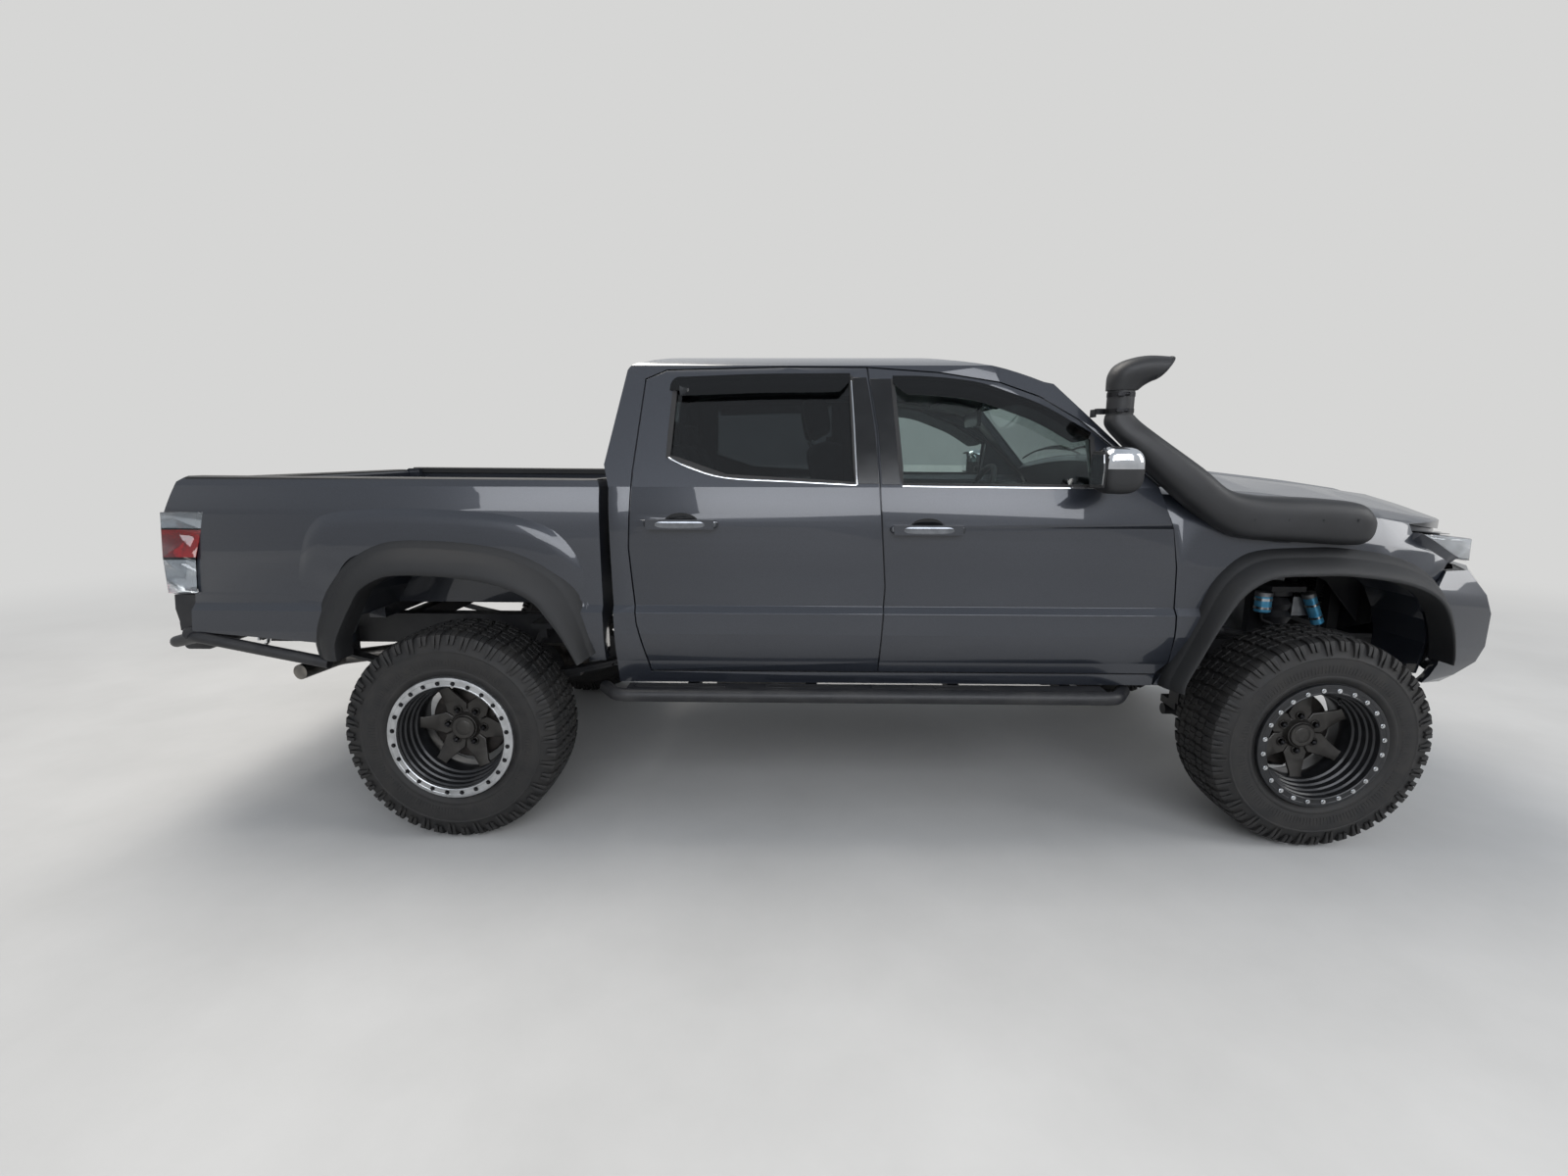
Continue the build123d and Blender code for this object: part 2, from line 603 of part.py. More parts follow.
def leaf_band(share, drop):
    """One leaf as a curved strip, centred over the axle."""
    front = rear_axle_x + (spring_front[0] - rear_axle_x) * share
    rear = rear_axle_x + (spring_rear[0] - rear_axle_x) * share
    lift = spring_sag * share ** 2
    low = spring_seat_z + 3 * leaf - drop
    return from_side(outline([
        (rear, low + lift, -lift), (front, low + lift, 0),
        (front, low + lift + leaf, lift), (rear, low + lift + leaf, 0)]),
        -spring_y - spring_wide / 2, -spring_y + spring_wide / 2)


pack = leaf_band(1.0, 0)
for count, share in ((1, 0.8), (2, 0.58), (3, 0.36)):
    pack = pack + leaf_band(share, count * leaf)
main_lift = spring_seat_z + 3 * leaf + spring_sag + leaf / 2
eyes = []
for end in (spring_front, spring_rear):
    eyes.append((end[0], main_lift))
    pack = pack + rod((end[0], -spring_y - spring_wide / 2, main_lift),
                      (end[0], -spring_y + spring_wide / 2, main_lift), eye_radius)
for (x, z), top in ((eyes[0], 632), (eyes[1], rail_rear_z + 60)):
    hanger = block(x - 40, x + 40, -spring_y - spring_wide / 2, -rail_outer_y,
                   z + eye_radius + seat_gap, top + 10)
    cheek = block(x - 40, x + 40, -spring_y + spring_wide / 2 + seat_gap, -rail_outer_y,
                  z - 30, top + 10)
    rail = rail + hanger + cheek

# Rear axle with its housing, spring seats and shock brackets
tube_radius = 42
axle_end_y = hub_face_y - 20
rear_axle = rod((rear_axle_x, -axle_end_y + seat_gap, axle_z),
                (rear_axle_x, axle_end_y - seat_gap, axle_z), tube_radius)
housing = Pos(rear_axle_x, 0, axle_z) * Rot(90, 0, 0) * Cylinder(150, 130)
housing = housing + Pos(rear_axle_x, 0, axle_z) * Sphere(135)
nose_piece = rod((rear_axle_x + 100, 0, axle_z + 20), (rear_axle_x + 250, 0, axle_z + 20), 55)
rear_axle = rear_axle + housing + nose_piece
seat = block(rear_axle_x - 60, rear_axle_x + 60, spring_y - 34, spring_y + 34,
             axle_z, spring_seat_z - seat_gap)
shock_y = 600
shock_foot = (rear_axle_x + 70, axle_z - 20)
shock_head = (rear_axle_x + 235, 745)
bracket = block(rear_axle_x, rear_axle_x + 95, shock_y - 28, shock_y + 28, axle_z - 40,
                axle_z - 20)
rear_axle = rear_axle + seat + bracket + other_side(seat + bracket)
save("rear_axle", rear_axle, 0)

rail = rail + block(shock_head[0] - 45, shock_head[0] + 45, -shock_y - 30, -rail_outer_y,
                    shock_head[1] + seat_gap, shock_head[1] + 22)


def shock_absorber(foot, head, body_radius, rod_radius, share):
    """Rod and body along one line, flat where it meets its mounts at each end."""
    along = Vector(*head) - Vector(*foot)
    middle = Vector(*foot) + along * share
    lower = rod(tuple(foot), tuple(middle), body_radius)
    upper = rod(tuple(middle), tuple(head), rod_radius)
    return lower + upper


reach = (shock_head[0] - shock_foot[0]) / (shock_head[1] - shock_foot[1])
low_pin = block(shock_foot[0] - 16, shock_foot[0] + 16, -shock_y - 16, -shock_y + 16,
                shock_foot[1] + seat_gap, shock_foot[1] + 40)
high_pin = block(shock_head[0] - 16, shock_head[0] + 16, -shock_y - 16, -shock_y + 16,
                 shock_head[1] - 40, shock_head[1])
rear_shock = shock_absorber(
    (shock_foot[0] + 24 * reach, -shock_y, shock_foot[1] + 24),
    (shock_head[0] - 24 * reach, -shock_y, shock_head[1] - 24), 30, 12, 0.55)
rear_shock = rear_shock + low_pin + high_pin
springs = [*pair(pack).solids(), *pair(rear_shock).solids()]
save("rear_suspension", Compound(springs), 0)

# Front suspension: wishbones, coil-over struts and steering rack


def on_kingpin(side, height):
    """Point on the right or left steering axis at a height."""
    share = (height - kingpin_low[1]) / (kingpin_high[1] - kingpin_low[1])
    y = kingpin_low[0] + share * (kingpin_high[0] - kingpin_low[0])
    return (front_axle_x, side * y, height)


def pin_disc(height_low, height_high, radius):
    """Short round boss along the right-hand steering axis."""
    return rod(on_kingpin(-1, height_low), on_kingpin(-1, height_high), radius)


low_eye = pin_disc(kingpin_low[1] - 62, kingpin_low[1] - 30 - seat_gap, 32)
high_eye = pin_disc(kingpin_high[1] + 12 + seat_gap, kingpin_high[1] + 38, 27)
low_pivot_y = 300
low_pivot_z = 300
high_pivot_y = rail_outer_y + 42
wishbone = low_eye
for x, y_in in ((front_axle_x - 190, low_pivot_y), (front_axle_x + 190, low_pivot_y)):
    wishbone = wishbone + rod((front_axle_x, -746, 243), (x, -y_in, low_pivot_z), 18)
    wishbone = wishbone + rod((x - 35, -y_in, low_pivot_z), (x + 35, -y_in, low_pivot_z), 26)
strut_x = front_axle_x + 84
strut_foot = (strut_x, -598, 310)
strut_head = (strut_x, -520, 912)
wishbone = wishbone + block(front_axle_x - 60, strut_x + 34, -632, -566, 262, 282)
wishbone = wishbone + block(strut_x - 18, strut_x + 18, -612, -584, 262, 309)
high_bone = high_eye
for x in (front_axle_x - 120, front_axle_x + 120):
    high_bone = high_bone + rod(on_kingpin(-1, 732), (x, -high_pivot_y, 728), 12)
    high_bone = high_bone + rod((x - 28, -high_pivot_y, 728), (x + 28, -high_pivot_y, 728), 19)
strut = rod(strut_foot, (strut_x, -592, 356), 20)
strut = strut + rod((strut_x, -592, 356), (strut_x, -560, 603), 27)
strut = strut + rod((strut_x, -560, 603), strut_head, 14)
strut = strut + Pos(strut_x, strut_head[1], strut_head[2] - 11) * Cylinder(54, 22)
strut = strut - block(strut_x - 90, strut_x + 90, -700, -400, strut_head[2], 1000)
strut = strut + rod((strut_x, -567, 545), (strut_x, -565.6, 556), 56)
coil_turns = 6
coil_pitch = 54
coil_rows = []
for turn in range(coil_turns):
    coil_rows.append((38, turn * coil_pitch))
    coil_rows.append((54, turn * coil_pitch + coil_pitch / 2))
coil_rows.append((38, coil_turns * coil_pitch))
coil_outline = [(25, 0)] + coil_rows + [(25, coil_turns * coil_pitch)]
coil = Pos(strut_x, -565.6, 556) * Rot(-7.4, 0, 0) * revolve(
    Plane.XZ * outline(coil_outline), axis=Axis.Z)
steer_arm = 137
rack = rod((front_axle_x + steer_arm, -300, 396), (front_axle_x + steer_arm, 300, 396), 32)
tie = rod((front_axle_x + steer_arm, 300, 396), (front_axle_x + steer_arm, 692, 396), 11)
rack = rack + tie + other_side(tie)
strut = strut + coil
right_arms = [*wishbone.solids(), *high_bone.solids(), *strut.solids()]
arms = Compound([*right_arms, *[other_side(solid) for solid in right_arms], *rack.solids()])
save("front_suspension", arms, 0)
tower = block(strut_x - 70, strut_x + 70, -rail_outer_y, -425, rail_front_z + rail_high - 5, 934)
tower = tower + block(strut_x - 70, strut_x + 70, -592, -425, 912 + seat_gap, 934)
tower = tower + block(front_axle_x - 155, front_axle_x + 155, -high_pivot_y + 20, -rail_outer_y,
                      rail_front_z + 40, rail_front_z + rail_high - 5)
for x in (front_axle_x - 190, front_axle_x + 190):
    tower = tower + block(x - 30, x + 30, -rail_inner_y, -rail_inner_y + 130,
                          low_pivot_z + 26 + seat_gap, low_pivot_z + 60)
    tower = tower + block(x - 30, x + 30, -rail_inner_y - 20, -rail_inner_y + 60,
                          low_pivot_z + 60, rail_front_z + 20)
rail = rail + tower
rack_mid = front_axle_x + steer_arm
rack_plate_y = cross_half - 12
rack_plate = block(rack_mid - 36, rack_mid + 36, -cross_half, cross_half,
                   396 + 32 + seat_gap, 396 + 32 + 14)
for side in (-1, 1):
    rack_plate = rack_plate + block(rack_mid - 36, rack_mid + 36,
                                    side * (rack_plate_y + 6) - 6, side * (rack_plate_y + 6) + 6,
                                    396 + 32 + seat_gap, rail_front_z + 80)
frame = Compound([*rail.solids(), *other_side(rail).solids(), *[
    solid for cross in crosses + [rack_plate] for solid in cross.solids()]])
save("frame", frame, 0)

# Steering knuckles with their brake calipers
low_boss = pin_disc(kingpin_low[1] - 30, kingpin_low[1] + 22, 24)
high_boss = pin_disc(kingpin_high[1] - 26, kingpin_high[1] + 12, 20)
knuckle = low_boss + high_boss
knuckle = knuckle + rod(on_kingpin(-1, kingpin_low[1]), (front_axle_x, -722, axle_z), 20)
knuckle = knuckle + rod((front_axle_x, -724, axle_z), (front_axle_x, -690, 600), 20)
knuckle = knuckle + rod((front_axle_x, -690, 600), on_kingpin(-1, kingpin_high[1] - 10), 16)
knuckle = knuckle + rod((front_axle_x, -706, axle_z), (front_axle_x, -hub_face_y, axle_z), 62)
tie_z = axle_z - 16
tie_radius = 11
arm_rise = 19
arm_low_z = tie_z + tie_radius + arm_rise
knuckle = knuckle + rod((front_axle_x, -712, arm_low_z + 15),
                        (front_axle_x + steer_arm, -692, arm_low_z + 15), 13)
knuckle = knuckle + Pos(front_axle_x + steer_arm, -692, arm_low_z + 14) * Cylinder(18, 28)
disc_in_y = 790
disc_out_y = 812
disc_radius = 152
caliper = block(front_axle_x - 178, front_axle_x - 104, -833, -750, axle_z - 52, axle_z + 52)
disc_room = rod((front_axle_x, -disc_out_y - 5, axle_z), (front_axle_x, -disc_in_y + 5, axle_z),
                disc_radius + 5)
caliper = caliper - disc_room
hanger = block(front_axle_x - 150, front_axle_x - 30, -758, -735, axle_z - 28, axle_z + 28)
knuckle = knuckle + hanger + caliper
save("knuckle_right", knuckle, 0)
save("knuckle_left", other_side(knuckle), 0)

# Wheels, turned about the Y axis: (across from the centre plane, radius)
half_rim = rim_width / 2
half_tyre = tyre_width / 2
ring_inner = 203
ring_outer = 240
tyre_rows = [
    (half_rim - 22, rim_radius + seat_gap), (half_rim, rim_radius + seat_gap),
    (half_rim, ring_outer + 2), (half_tyre - 3, 288), (half_tyre, 318), (half_tyre - 5, 368),
    (half_tyre - 12, tyre_radius - 14), (half_tyre - 32, tyre_radius - 2)]
tyre_inner_rows = [
    (half_rim - 24, 240), (half_tyre - 16, 290), (half_tyre - 14, 320),
    (half_tyre - 20, tyre_radius - 40), (half_tyre - 40, tyre_radius - 26)]
tyre_face = outline(
    [(-a, r, 0) for a, r in tyre_rows[:-1]] + [(-tyre_rows[-1][0], tyre_rows[-1][1], 2)]
    + [(a, r, 0) for a, r in tyre_rows[::-1]]
    + [(a, r, 0) for a, r in tyre_inner_rows[:-1]] + [(tyre_inner_rows[-1][0], tyre_inner_rows[-1][1], -1)]
    + [(-a, r, 0) for a, r in tyre_inner_rows[::-1]])


def turned(face):
    """Ring turned about the Y axis from an (across, radius) outline."""
    plane = Plane(origin=(0, 0, 0), x_dir=(0, -1, 0), z_dir=(-1, 0, 0))
    return revolve(plane * face, axis=Axis.Y)


tyre = turned(tyre_face)
rim_face = outline([
    (-half_rim - 6, ring_inner), (-half_rim - 6, rim_radius + 12), (-half_rim - seat_gap, rim_radius + 12),
    (-half_rim - seat_gap, rim_radius), (half_rim + seat_gap, rim_radius),
    (half_rim + seat_gap, ring_outer), (half_tyre - 1, ring_outer - 3), (half_tyre, ring_outer - 8),
    (half_tyre, ring_inner + 6), (half_tyre - 4, ring_inner), (half_rim - 20, ring_inner),
    (half_rim - 34, ring_inner - 9), (-half_rim + 20, ring_inner - 9), (-half_rim + 8, ring_inner)])
barrel = turned(rim_face)
hub_out = 4
hub_depth = half_track - hub_face_y
spoke_rows = [(50, -18), (50, 2), (96, -2), (197, 26), (197, -6), (100, -18)]
spoke_count = 6
spoke_wide = 46
rim = barrel


def across(y_from, y_to, radius):
    """Round disc on the wheel's axis between two distances out from the centre plane."""
    return rod((0, -y_from, 0), (0, -y_to, 0), radius)


rim = rim + across(-30, hub_out, 74)
for count in range(spoke_count):
    blade = extrude(Plane(origin=(0, 0, -spoke_wide / 2), x_dir=(1, 0, 0), z_dir=(0, 0, 1))
                    * outline([(r, -a) for r, a in spoke_rows]), spoke_wide, dir=(0, 0, 1))
    rim = rim + Rot(0, 90 + count * 360 / spoke_count, 0) * blade
front_hub = across(-hub_depth + seat_gap, -20, 68)
front_hub = front_hub + across(disc_in_y - half_track, disc_out_y - half_track, disc_radius)
drum_in_y = axle_end_y
rear_hub = across(drum_in_y - half_track, -20, 68) + across(drum_in_y - half_track, -30, 150)
for place, x, hub in (("front", front_axle_x, front_hub), ("rear", rear_axle_x, rear_hub)):
    right_rim = Pos(x, -half_track, axle_z) * (rim + hub)
    right_tyre = Pos(x, -half_track, axle_z) * tyre
    save("rim_" + place + "_right", right_rim, 0)
    save("rim_" + place + "_left", other_side(right_rim), 0)
    save("tyre_" + place + "_right", right_tyre, 0)
    save("tyre_" + place + "_left", other_side(right_tyre), 0)

# Engine, gearbox, shafts and front differential
engine = block(1400, 2040, -300, 300, 640, 1130)
engine_foot = block(1640, 1700, 300, rail_inner_y - seat_gap, 650, 690)
engine = engine + engine_foot + other_side(engine_foot)
save("engine", engine, 0)
gearbox_radius = 80
gearbox_z = rail_mid_z + gearbox_radius
driveline = rod((640, 0, gearbox_z), (1400 - seat_gap, 0, gearbox_z), gearbox_radius)
driveline = driveline + block(1300, 1400 - seat_gap, -150, 150, gearbox_z - 60, gearbox_z + 86)
driveline = driveline + block(440, 700, -110, 170, rail_mid_z - 20, gearbox_z + 80)
flange_x = rear_axle_x + 250 + seat_gap
driveline = driveline + rod((flange_x, 0, axle_z + 20), (flange_x + 60, 0, axle_z + 20), 42)
driveline = driveline + rod((flange_x + 50, 0, axle_z + 20), (440, 0, rail_mid_z + 30), 36)
driveline = driveline + rod((700, 130, 560), (front_axle_x - 120, 130, 440), 25)
driveline = driveline + Pos(front_axle_x, 40, axle_z) * Rot(90, 0, 0) * Cylinder(92, 220)
driveline = driveline + rod((front_axle_x - 130, 130, 440), (front_axle_x, 130, 420), 55)
shaft = rod((front_axle_x, -640, axle_z), (front_axle_x, 640, axle_z), 20)
driveline = driveline + shaft
save("driveline", driveline, 0)

# Exhaust and fuel tank
exhaust = bent_tube([
    (1440, -250, 600), (1180, -250, 560), (800, -255, 545), (450, -260, 470),
    (-900, -260, 474), (-1180, -270, 600), (-1460, -270, 620), (-1760, -290, 606),
    (-2060, -330, 556), (-2230, -420, 552), (-2260, -640, 552)],
    32, [90, 90, 90, 90, 90, 90, 90, 90, 60])
exhaust = exhaust + rod((1432, -250, 600), (1432, -250, 640 - seat_gap), 32)
exhaust = exhaust + Pos(-300, -260, 472) * Rot(0, 90, 0) * Cylinder(80, 460)
save("exhaust", exhaust, 0)
tank = block(tank_rear_cross + 35 + seat_gap, tank_front_cross - 35 - seat_gap, 90,
             rail_inner_y - 20, 430, 600)
tank = fillet(tank.edges(), 25)
save("fuel_tank", tank, 0)

# Dashboard, seats and steering wheel
dash = from_side(outline([
    (1250 - seat_gap, 900), (1250 - seat_gap, 1238), (1180, 1300), (1010, 1275), (935, 1210),
    (930, 1120), (980, 1000), (1120, 900)]), -742, 742)
save("dashboard", dash)
seat_mid_y = 372


def front_seat():
    base = block(90, 560, -seat_mid_y - 210, -seat_mid_y + 210, floor_z + floor_thick + seat_gap,
                 860)
    cushion = from_side(outline([(20, 860), (40, 960), (620, 1010), (640, 880), (600, 860)]),
                        -seat_mid_y - 255, -seat_mid_y + 255)
    back = from_side(outline([(30, 955), (-120, 1500), (20, 1530), (170, 960)]),
                     -seat_mid_y - 245, -seat_mid_y + 245)
    rest = from_side(outline([(-125, 1520), (-150, 1690), (-40, 1700), (0, 1525)]),
                     -seat_mid_y - 130, -seat_mid_y + 130)
    return base + cushion + back + rest


bench = block(-760, -330, -660, 660, floor_z + floor_thick + seat_gap, 1000)
bench_back = from_side(outline([(-640, 1000), (-775, 1440), (-700, 1520), (-560, 1460),
                                (-500, 1000)]), -650, 650)
bench = bench + bench_back
seats = Compound([*pair(front_seat()).solids(), *bench.solids()])
save("seats", seats)
wheel_tilt = 24
steering_wheel = Pos(800, seat_mid_y, 1235) * Rot(0, 90 - wheel_tilt, 0) * (
    Torus(182, 14) + Cylinder(60, 30))
for angle in (90, 210, 330):
    spoke = Pos(800, seat_mid_y, 1235) * Rot(0, 90 - wheel_tilt, 0) * Rot(0, 0, angle) * (
        Pos(110, 0, 0) * Box(150, 34, 14))
    steering_wheel = steering_wheel + spoke
steering_wheel = steering_wheel + (rod((800, seat_mid_y, 1235), (960, seat_mid_y, 1164), 38)
                                   - from_side(outline([
                                       (1250, 900), (1250, 1238), (1180, 1300), (1010, 1276),
                                       (934.7, 1210), (929.7, 1120), (979.7, 1000),
                                       (1120, 899)]), -742, 742))
save("steering_wheel", steering_wheel)

# Rock sliders, rear bumper, snorkel and mirrors
slider_y = 962
slider_z = 576
slider_radius = 25
side_tube = bent_tube([(-905, -840, 566), (-830, -slider_y, slider_z), (1030, -slider_y, slider_z),
                       (1105, -840, 566)], slider_radius, [70, 70])
step = block(-800, 1000, -938, -876, slider_z + 8, slider_z + 20)
slider = side_tube + step
for x in (-560, -100, 450, 880):
    slider = slider + block(x - 22, x + 22, -slider_y + 10, -rail_outer_y - seat_gap,
                            slider_z - 20, slider_z + 10)
save("sliders", pair(slider))

rear_face_x = -2684
beam = block(rear_face_x, rear_face_x + 120, -700, 700, 668, 800)
beam = fillet(beam.edges().filter_by(Axis.Y), 18)
wing = bent_tube([(-2640, -640, 720), (-2580, -860, 740), (-2440, -912, 776),
                  (-1950, -898, 672)], 22, [70, 70])
corner = from_side(outline([(-2526, 934), (-2531, 878), (-2516, 800), (-2458, 801), (-2443, 934)]),
                   -886, -735) & from_front(cab_section, -2700, -2300)
corner_plate = block(-2600, -2470, -800, -640, 772, 806) + corner
stay = block(rear_face_x + 100, -2500 - seat_gap, rail_inner_y, rail_outer_y, 660, 760)
receiver = block(-2684, -2500, -38, 38, 590, 668 - seat_gap) - block(-2700, -2480, -25.4, 25.4, 602, 653)
receiver = receiver - Pos(-2630, 0, 627.5) * Rot(90, 0, 0) * Cylinder(8, 100)
rear_bumper = beam + pair(wing) + stay + other_side(stay)
rear_bumper = rear_bumper + corner_plate + other_side(corner_plate)
save("rear_bumper", Compound([*rear_bumper.solids(), *receiver.solids()]))

snorkel_rows = [
    (1880, 1141), (1416, 1172), (1293, 1240), (1104, 1398), (1010, 1496), (955, 1560),
    (945, 1600), (1045, 1600), (1075, 1560), (1160, 1508), (1296, 1413), (1379, 1347),
    (1480, 1325), (1840, 1303), (1900, 1262), (1926, 1210), (1914, 1165)]
lower_box = from_side(outline(snorkel_rows), -958, -780)
lean = from_front(outline([
    (-958, 1100), (-958, 1330), (-905, 1610), (-798, 1610), (-838, 1420), (-860, 1330),
    (-866, 1210), (-866, 1100)]), 900, 2000)
snorkel = lower_box & lean
snorkel = snorkel - Pos(0, -seat_gap, 0) * (front_body(0) + cab_outer)
door_room = from_side(outline(grown([row[:2] for row in front_door_rows], panel_gap + 1)),
                      -1100, -700)
snorkel = snorkel - door_room
snorkel = max(snorkel.solids(), key=lambda solid: solid.volume)
neck = Pos(995, -851, 1650) * Cylinder(46, 104)
ram = from_side(outline([(943, 1690), (945, 1748), (978, 1786), (1017, 1803), (1084, 1810),
                         (1151, 1807), (1163, 1793), (1140, 1754), (1092, 1721),
                         (1060, 1700), (1050, 1690)]), -925, -775)
snorkel = snorkel + neck + ram
save("snorkel", snorkel)

mirror_rows = [(886, 1330), (872, 1420), (878, 1490), (975, 1492), (1000, 1430), (1020, 1350),
               (990, 1330)]
mirror_head = from_side(outline(mirror_rows), -1075, -930)
mirror_arm = block(905, 985, -932, -820, 1352, 1392) - Pos(0, -seat_gap, 0) * cab_outer
mirror_right = mirror_head + mirror_arm
save("mirror_right", mirror_right)
save("mirror_left", other_side(mirror_right))
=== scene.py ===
from math import cos, exp, pi, radians, sin, tau

import bmesh
import bpy
from mathutils import Matrix, Vector
from mathutils.bvhtree import BVHTree


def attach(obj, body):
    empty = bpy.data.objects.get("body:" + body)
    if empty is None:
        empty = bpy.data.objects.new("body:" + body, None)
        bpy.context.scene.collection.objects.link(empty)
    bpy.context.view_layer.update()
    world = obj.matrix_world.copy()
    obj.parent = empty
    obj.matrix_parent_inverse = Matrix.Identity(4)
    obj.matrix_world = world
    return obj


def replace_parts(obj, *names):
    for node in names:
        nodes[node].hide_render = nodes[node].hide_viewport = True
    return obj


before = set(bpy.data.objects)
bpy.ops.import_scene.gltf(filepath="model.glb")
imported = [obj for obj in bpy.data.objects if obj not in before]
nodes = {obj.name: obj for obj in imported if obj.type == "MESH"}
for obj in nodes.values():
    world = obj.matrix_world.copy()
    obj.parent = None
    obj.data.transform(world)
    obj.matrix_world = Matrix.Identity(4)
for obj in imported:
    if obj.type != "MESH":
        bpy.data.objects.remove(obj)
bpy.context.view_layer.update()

rightSide = -1
leftSide = 1
print("scene: frame loaded with", len(nodes), "nodes")


# Colour and material helpers
def toLinear(hexText):
    parts = [int(hexText[i:i + 2], 16) / 255 for i in (1, 3, 5)]
    return tuple(c / 12.92 if c <= 0.04045 else ((c + 0.055) / 1.055) ** 2.4
                 for c in parts) + (1.0,)


def joinSockets(tree, node, links):
    for key, socket in links.items():
        tree.links.new(socket, node.inputs[key])


# Settings are attributes or inputs of the node. Stops are a colour ramp's (place, hex) rows.
def addNode(tree, kind, settings=None, links=None):
    node = tree.nodes.new(kind)
    for key, value in (settings or {}).items():
        if key == "stops":
            marks = node.color_ramp.elements
            for mark, (place, tone) in ((marks[0], value[0]), (marks[1], value[-1])):
                mark.position, mark.color = place, toLinear(tone)
            for place, tone in value[1:-1]:
                marks.new(place).color = toLinear(tone)
        elif isinstance(key, str) and hasattr(node, key):
            setattr(node, key, value)
        else:
            node.inputs[key].default_value = value
    joinSockets(tree, node, links or {})
    return node


def startMaterial(name, sockets):
    material = bpy.data.materials.new(name)
    material.use_nodes = True
    tree = material.node_tree
    shader = tree.nodes["Principled BSDF"]
    for key, value in sockets.items():
        shader.inputs[key].default_value = value
    return material, tree, shader, addNode(tree, "ShaderNodeTexCoord").outputs["Object"]


# A cloud of wear goes into the colour and the roughness, and a fine grain into the bump
def makeSurface(name, look):
    material, tree, shader, place = startMaterial(name, look["sockets"])
    cloud = addNode(tree, "ShaderNodeTexNoise", look["cloud"], {"Vector": place}).outputs["Fac"]
    tint = addNode(tree, "ShaderNodeValToRGB", {
        "stops": list(zip(look["spread"], look["tones"]))}, {"Fac": cloud})
    rough = addNode(tree, "ShaderNodeMapRange", {
        "To Min": look["rough"][0], "To Max": look["rough"][1]}, {"Value": cloud})
    grain = addNode(tree, look.get("pattern", "ShaderNodeTexNoise"), {
        "Scale": 1000 / look["grainMm"], **look.get("grain", {})}, {"Vector": place})
    bump = addNode(tree, "ShaderNodeBump", {
        "Strength": look["bump"][0], "Distance": look["bump"][1]},
        {"Height": grain.outputs[look.get("height", "Fac")]})
    joinSockets(tree, shader, {"Base Color": tint.outputs["Color"],
                               "Roughness": rough.outputs["Result"],
                               "Normal": bump.outputs["Normal"]})
    return material


# Metallic basecoat under clear lacquer: sprayed over sheet steel. Dark grey that goes pale
# where it faces the light, with aluminium flake and a very slight orange peel. Real flake is
# far finer, so it is drawn at 1.1 mm to show.
def makePaint():
    coat = {"base": "#272B34", "dark": "#1A1E26", "dust": "#5A5F66", "flakeMm": 1.1, "peelMm": 9}
    material, tree, shader, place = startMaterial("metallicGreyPaint", {
        "Metallic": 0.35, "Roughness": 0.34, "Coat Weight": 1.0, "Coat Roughness": 0.03,
        "Coat IOR": 1.5})
    flake = addNode(tree, "ShaderNodeTexVoronoi", {"Scale": 1000 / coat["flakeMm"]},
                    {"Vector": place})
    tint = addNode(tree, "ShaderNodeValToRGB", {
        "stops": [(0.25, coat["dark"]), (0.75, coat["base"])]}, {"Fac": flake.outputs["Color"]})
    dust = addNode(tree, "ShaderNodeTexNoise", {"Scale": 3.0, "Detail": 4.0}, {"Vector": place})
    blend = addNode(tree, "ShaderNodeMix", {
        "data_type": "RGBA", 0: 0.04, 7: toLinear(coat["dust"])}, {6: tint.outputs["Color"]})
    rough = addNode(tree, "ShaderNodeMapRange", {"To Min": 0.30, "To Max": 0.40},
                    {"Value": dust.outputs["Fac"]})
    peel = addNode(tree, "ShaderNodeTexNoise", {"Scale": 1000 / coat["peelMm"], "Detail": 1.0},
                   {"Vector": place})
    bump = addNode(tree, "ShaderNodeBump", {"Strength": 0.05, "Distance": 0.0002},
                   {"Height": peel.outputs["Fac"]})
    joinSockets(tree, shader, {"Base Color": blend.outputs[2],
                               "Roughness": rough.outputs["Result"],
                               "Normal": bump.outputs["Normal"]})
    return material


# Moulded plastic: the tool's acid etching leaves a leathery grain that breaks up the gloss
def makeMoulded(name, base, worn, grainMm, roughness, depth):
    return makeSurface(name, {
        "sockets": {"Roughness": roughness, "IOR": 1.49}, "tones": (base, worn),
        "spread": (0.3, 0.75), "cloud": {"Scale": 7.0, "Detail": 6.0},
        "rough": (roughness - 0.07, roughness + 0.1), "pattern": "ShaderNodeTexVoronoi",
        "height": "Distance", "grainMm": grainMm, "bump": (depth, grainMm / 4000)})


# Cast, turned, painted or plated metal: soft stains and a grain at its own pitch
def makeMetal(name, low, high, roughLow, roughHigh, grainMm, depth, metallic=1.0, coat=0.0):
    return makeSurface(name, {
        "sockets": {"Metallic": metallic, "Coat Weight": coat, "Coat Roughness": 0.12},
        "tones": (low, high), "spread": (0.35, 0.7), "cloud": {"Scale": 22.0, "Detail": 7.0},
        "rough": (roughLow, roughHigh), "grainMm": grainMm, "grain": {"Detail": 4.0},
        "bump": (depth, grainMm / 3000)})


# Shadow rays pass straight through, as they do through real panes and lenses
def clearShadow(tree, shader, tone):
    path = addNode(tree, "ShaderNodeLightPath")
    clear = addNode(tree, "ShaderNodeBsdfTransparent", {"Color": toLinear(tone)})
    choose = addNode(tree, "ShaderNodeMixShader", {}, {
        0: path.outputs["Is Shadow Ray"], 1: shader.outputs["BSDF"], 2: clear.outputs["BSDF"]})
    joinSockets(tree, tree.nodes["Material Output"], {"Surface": choose.outputs["Shader"]})


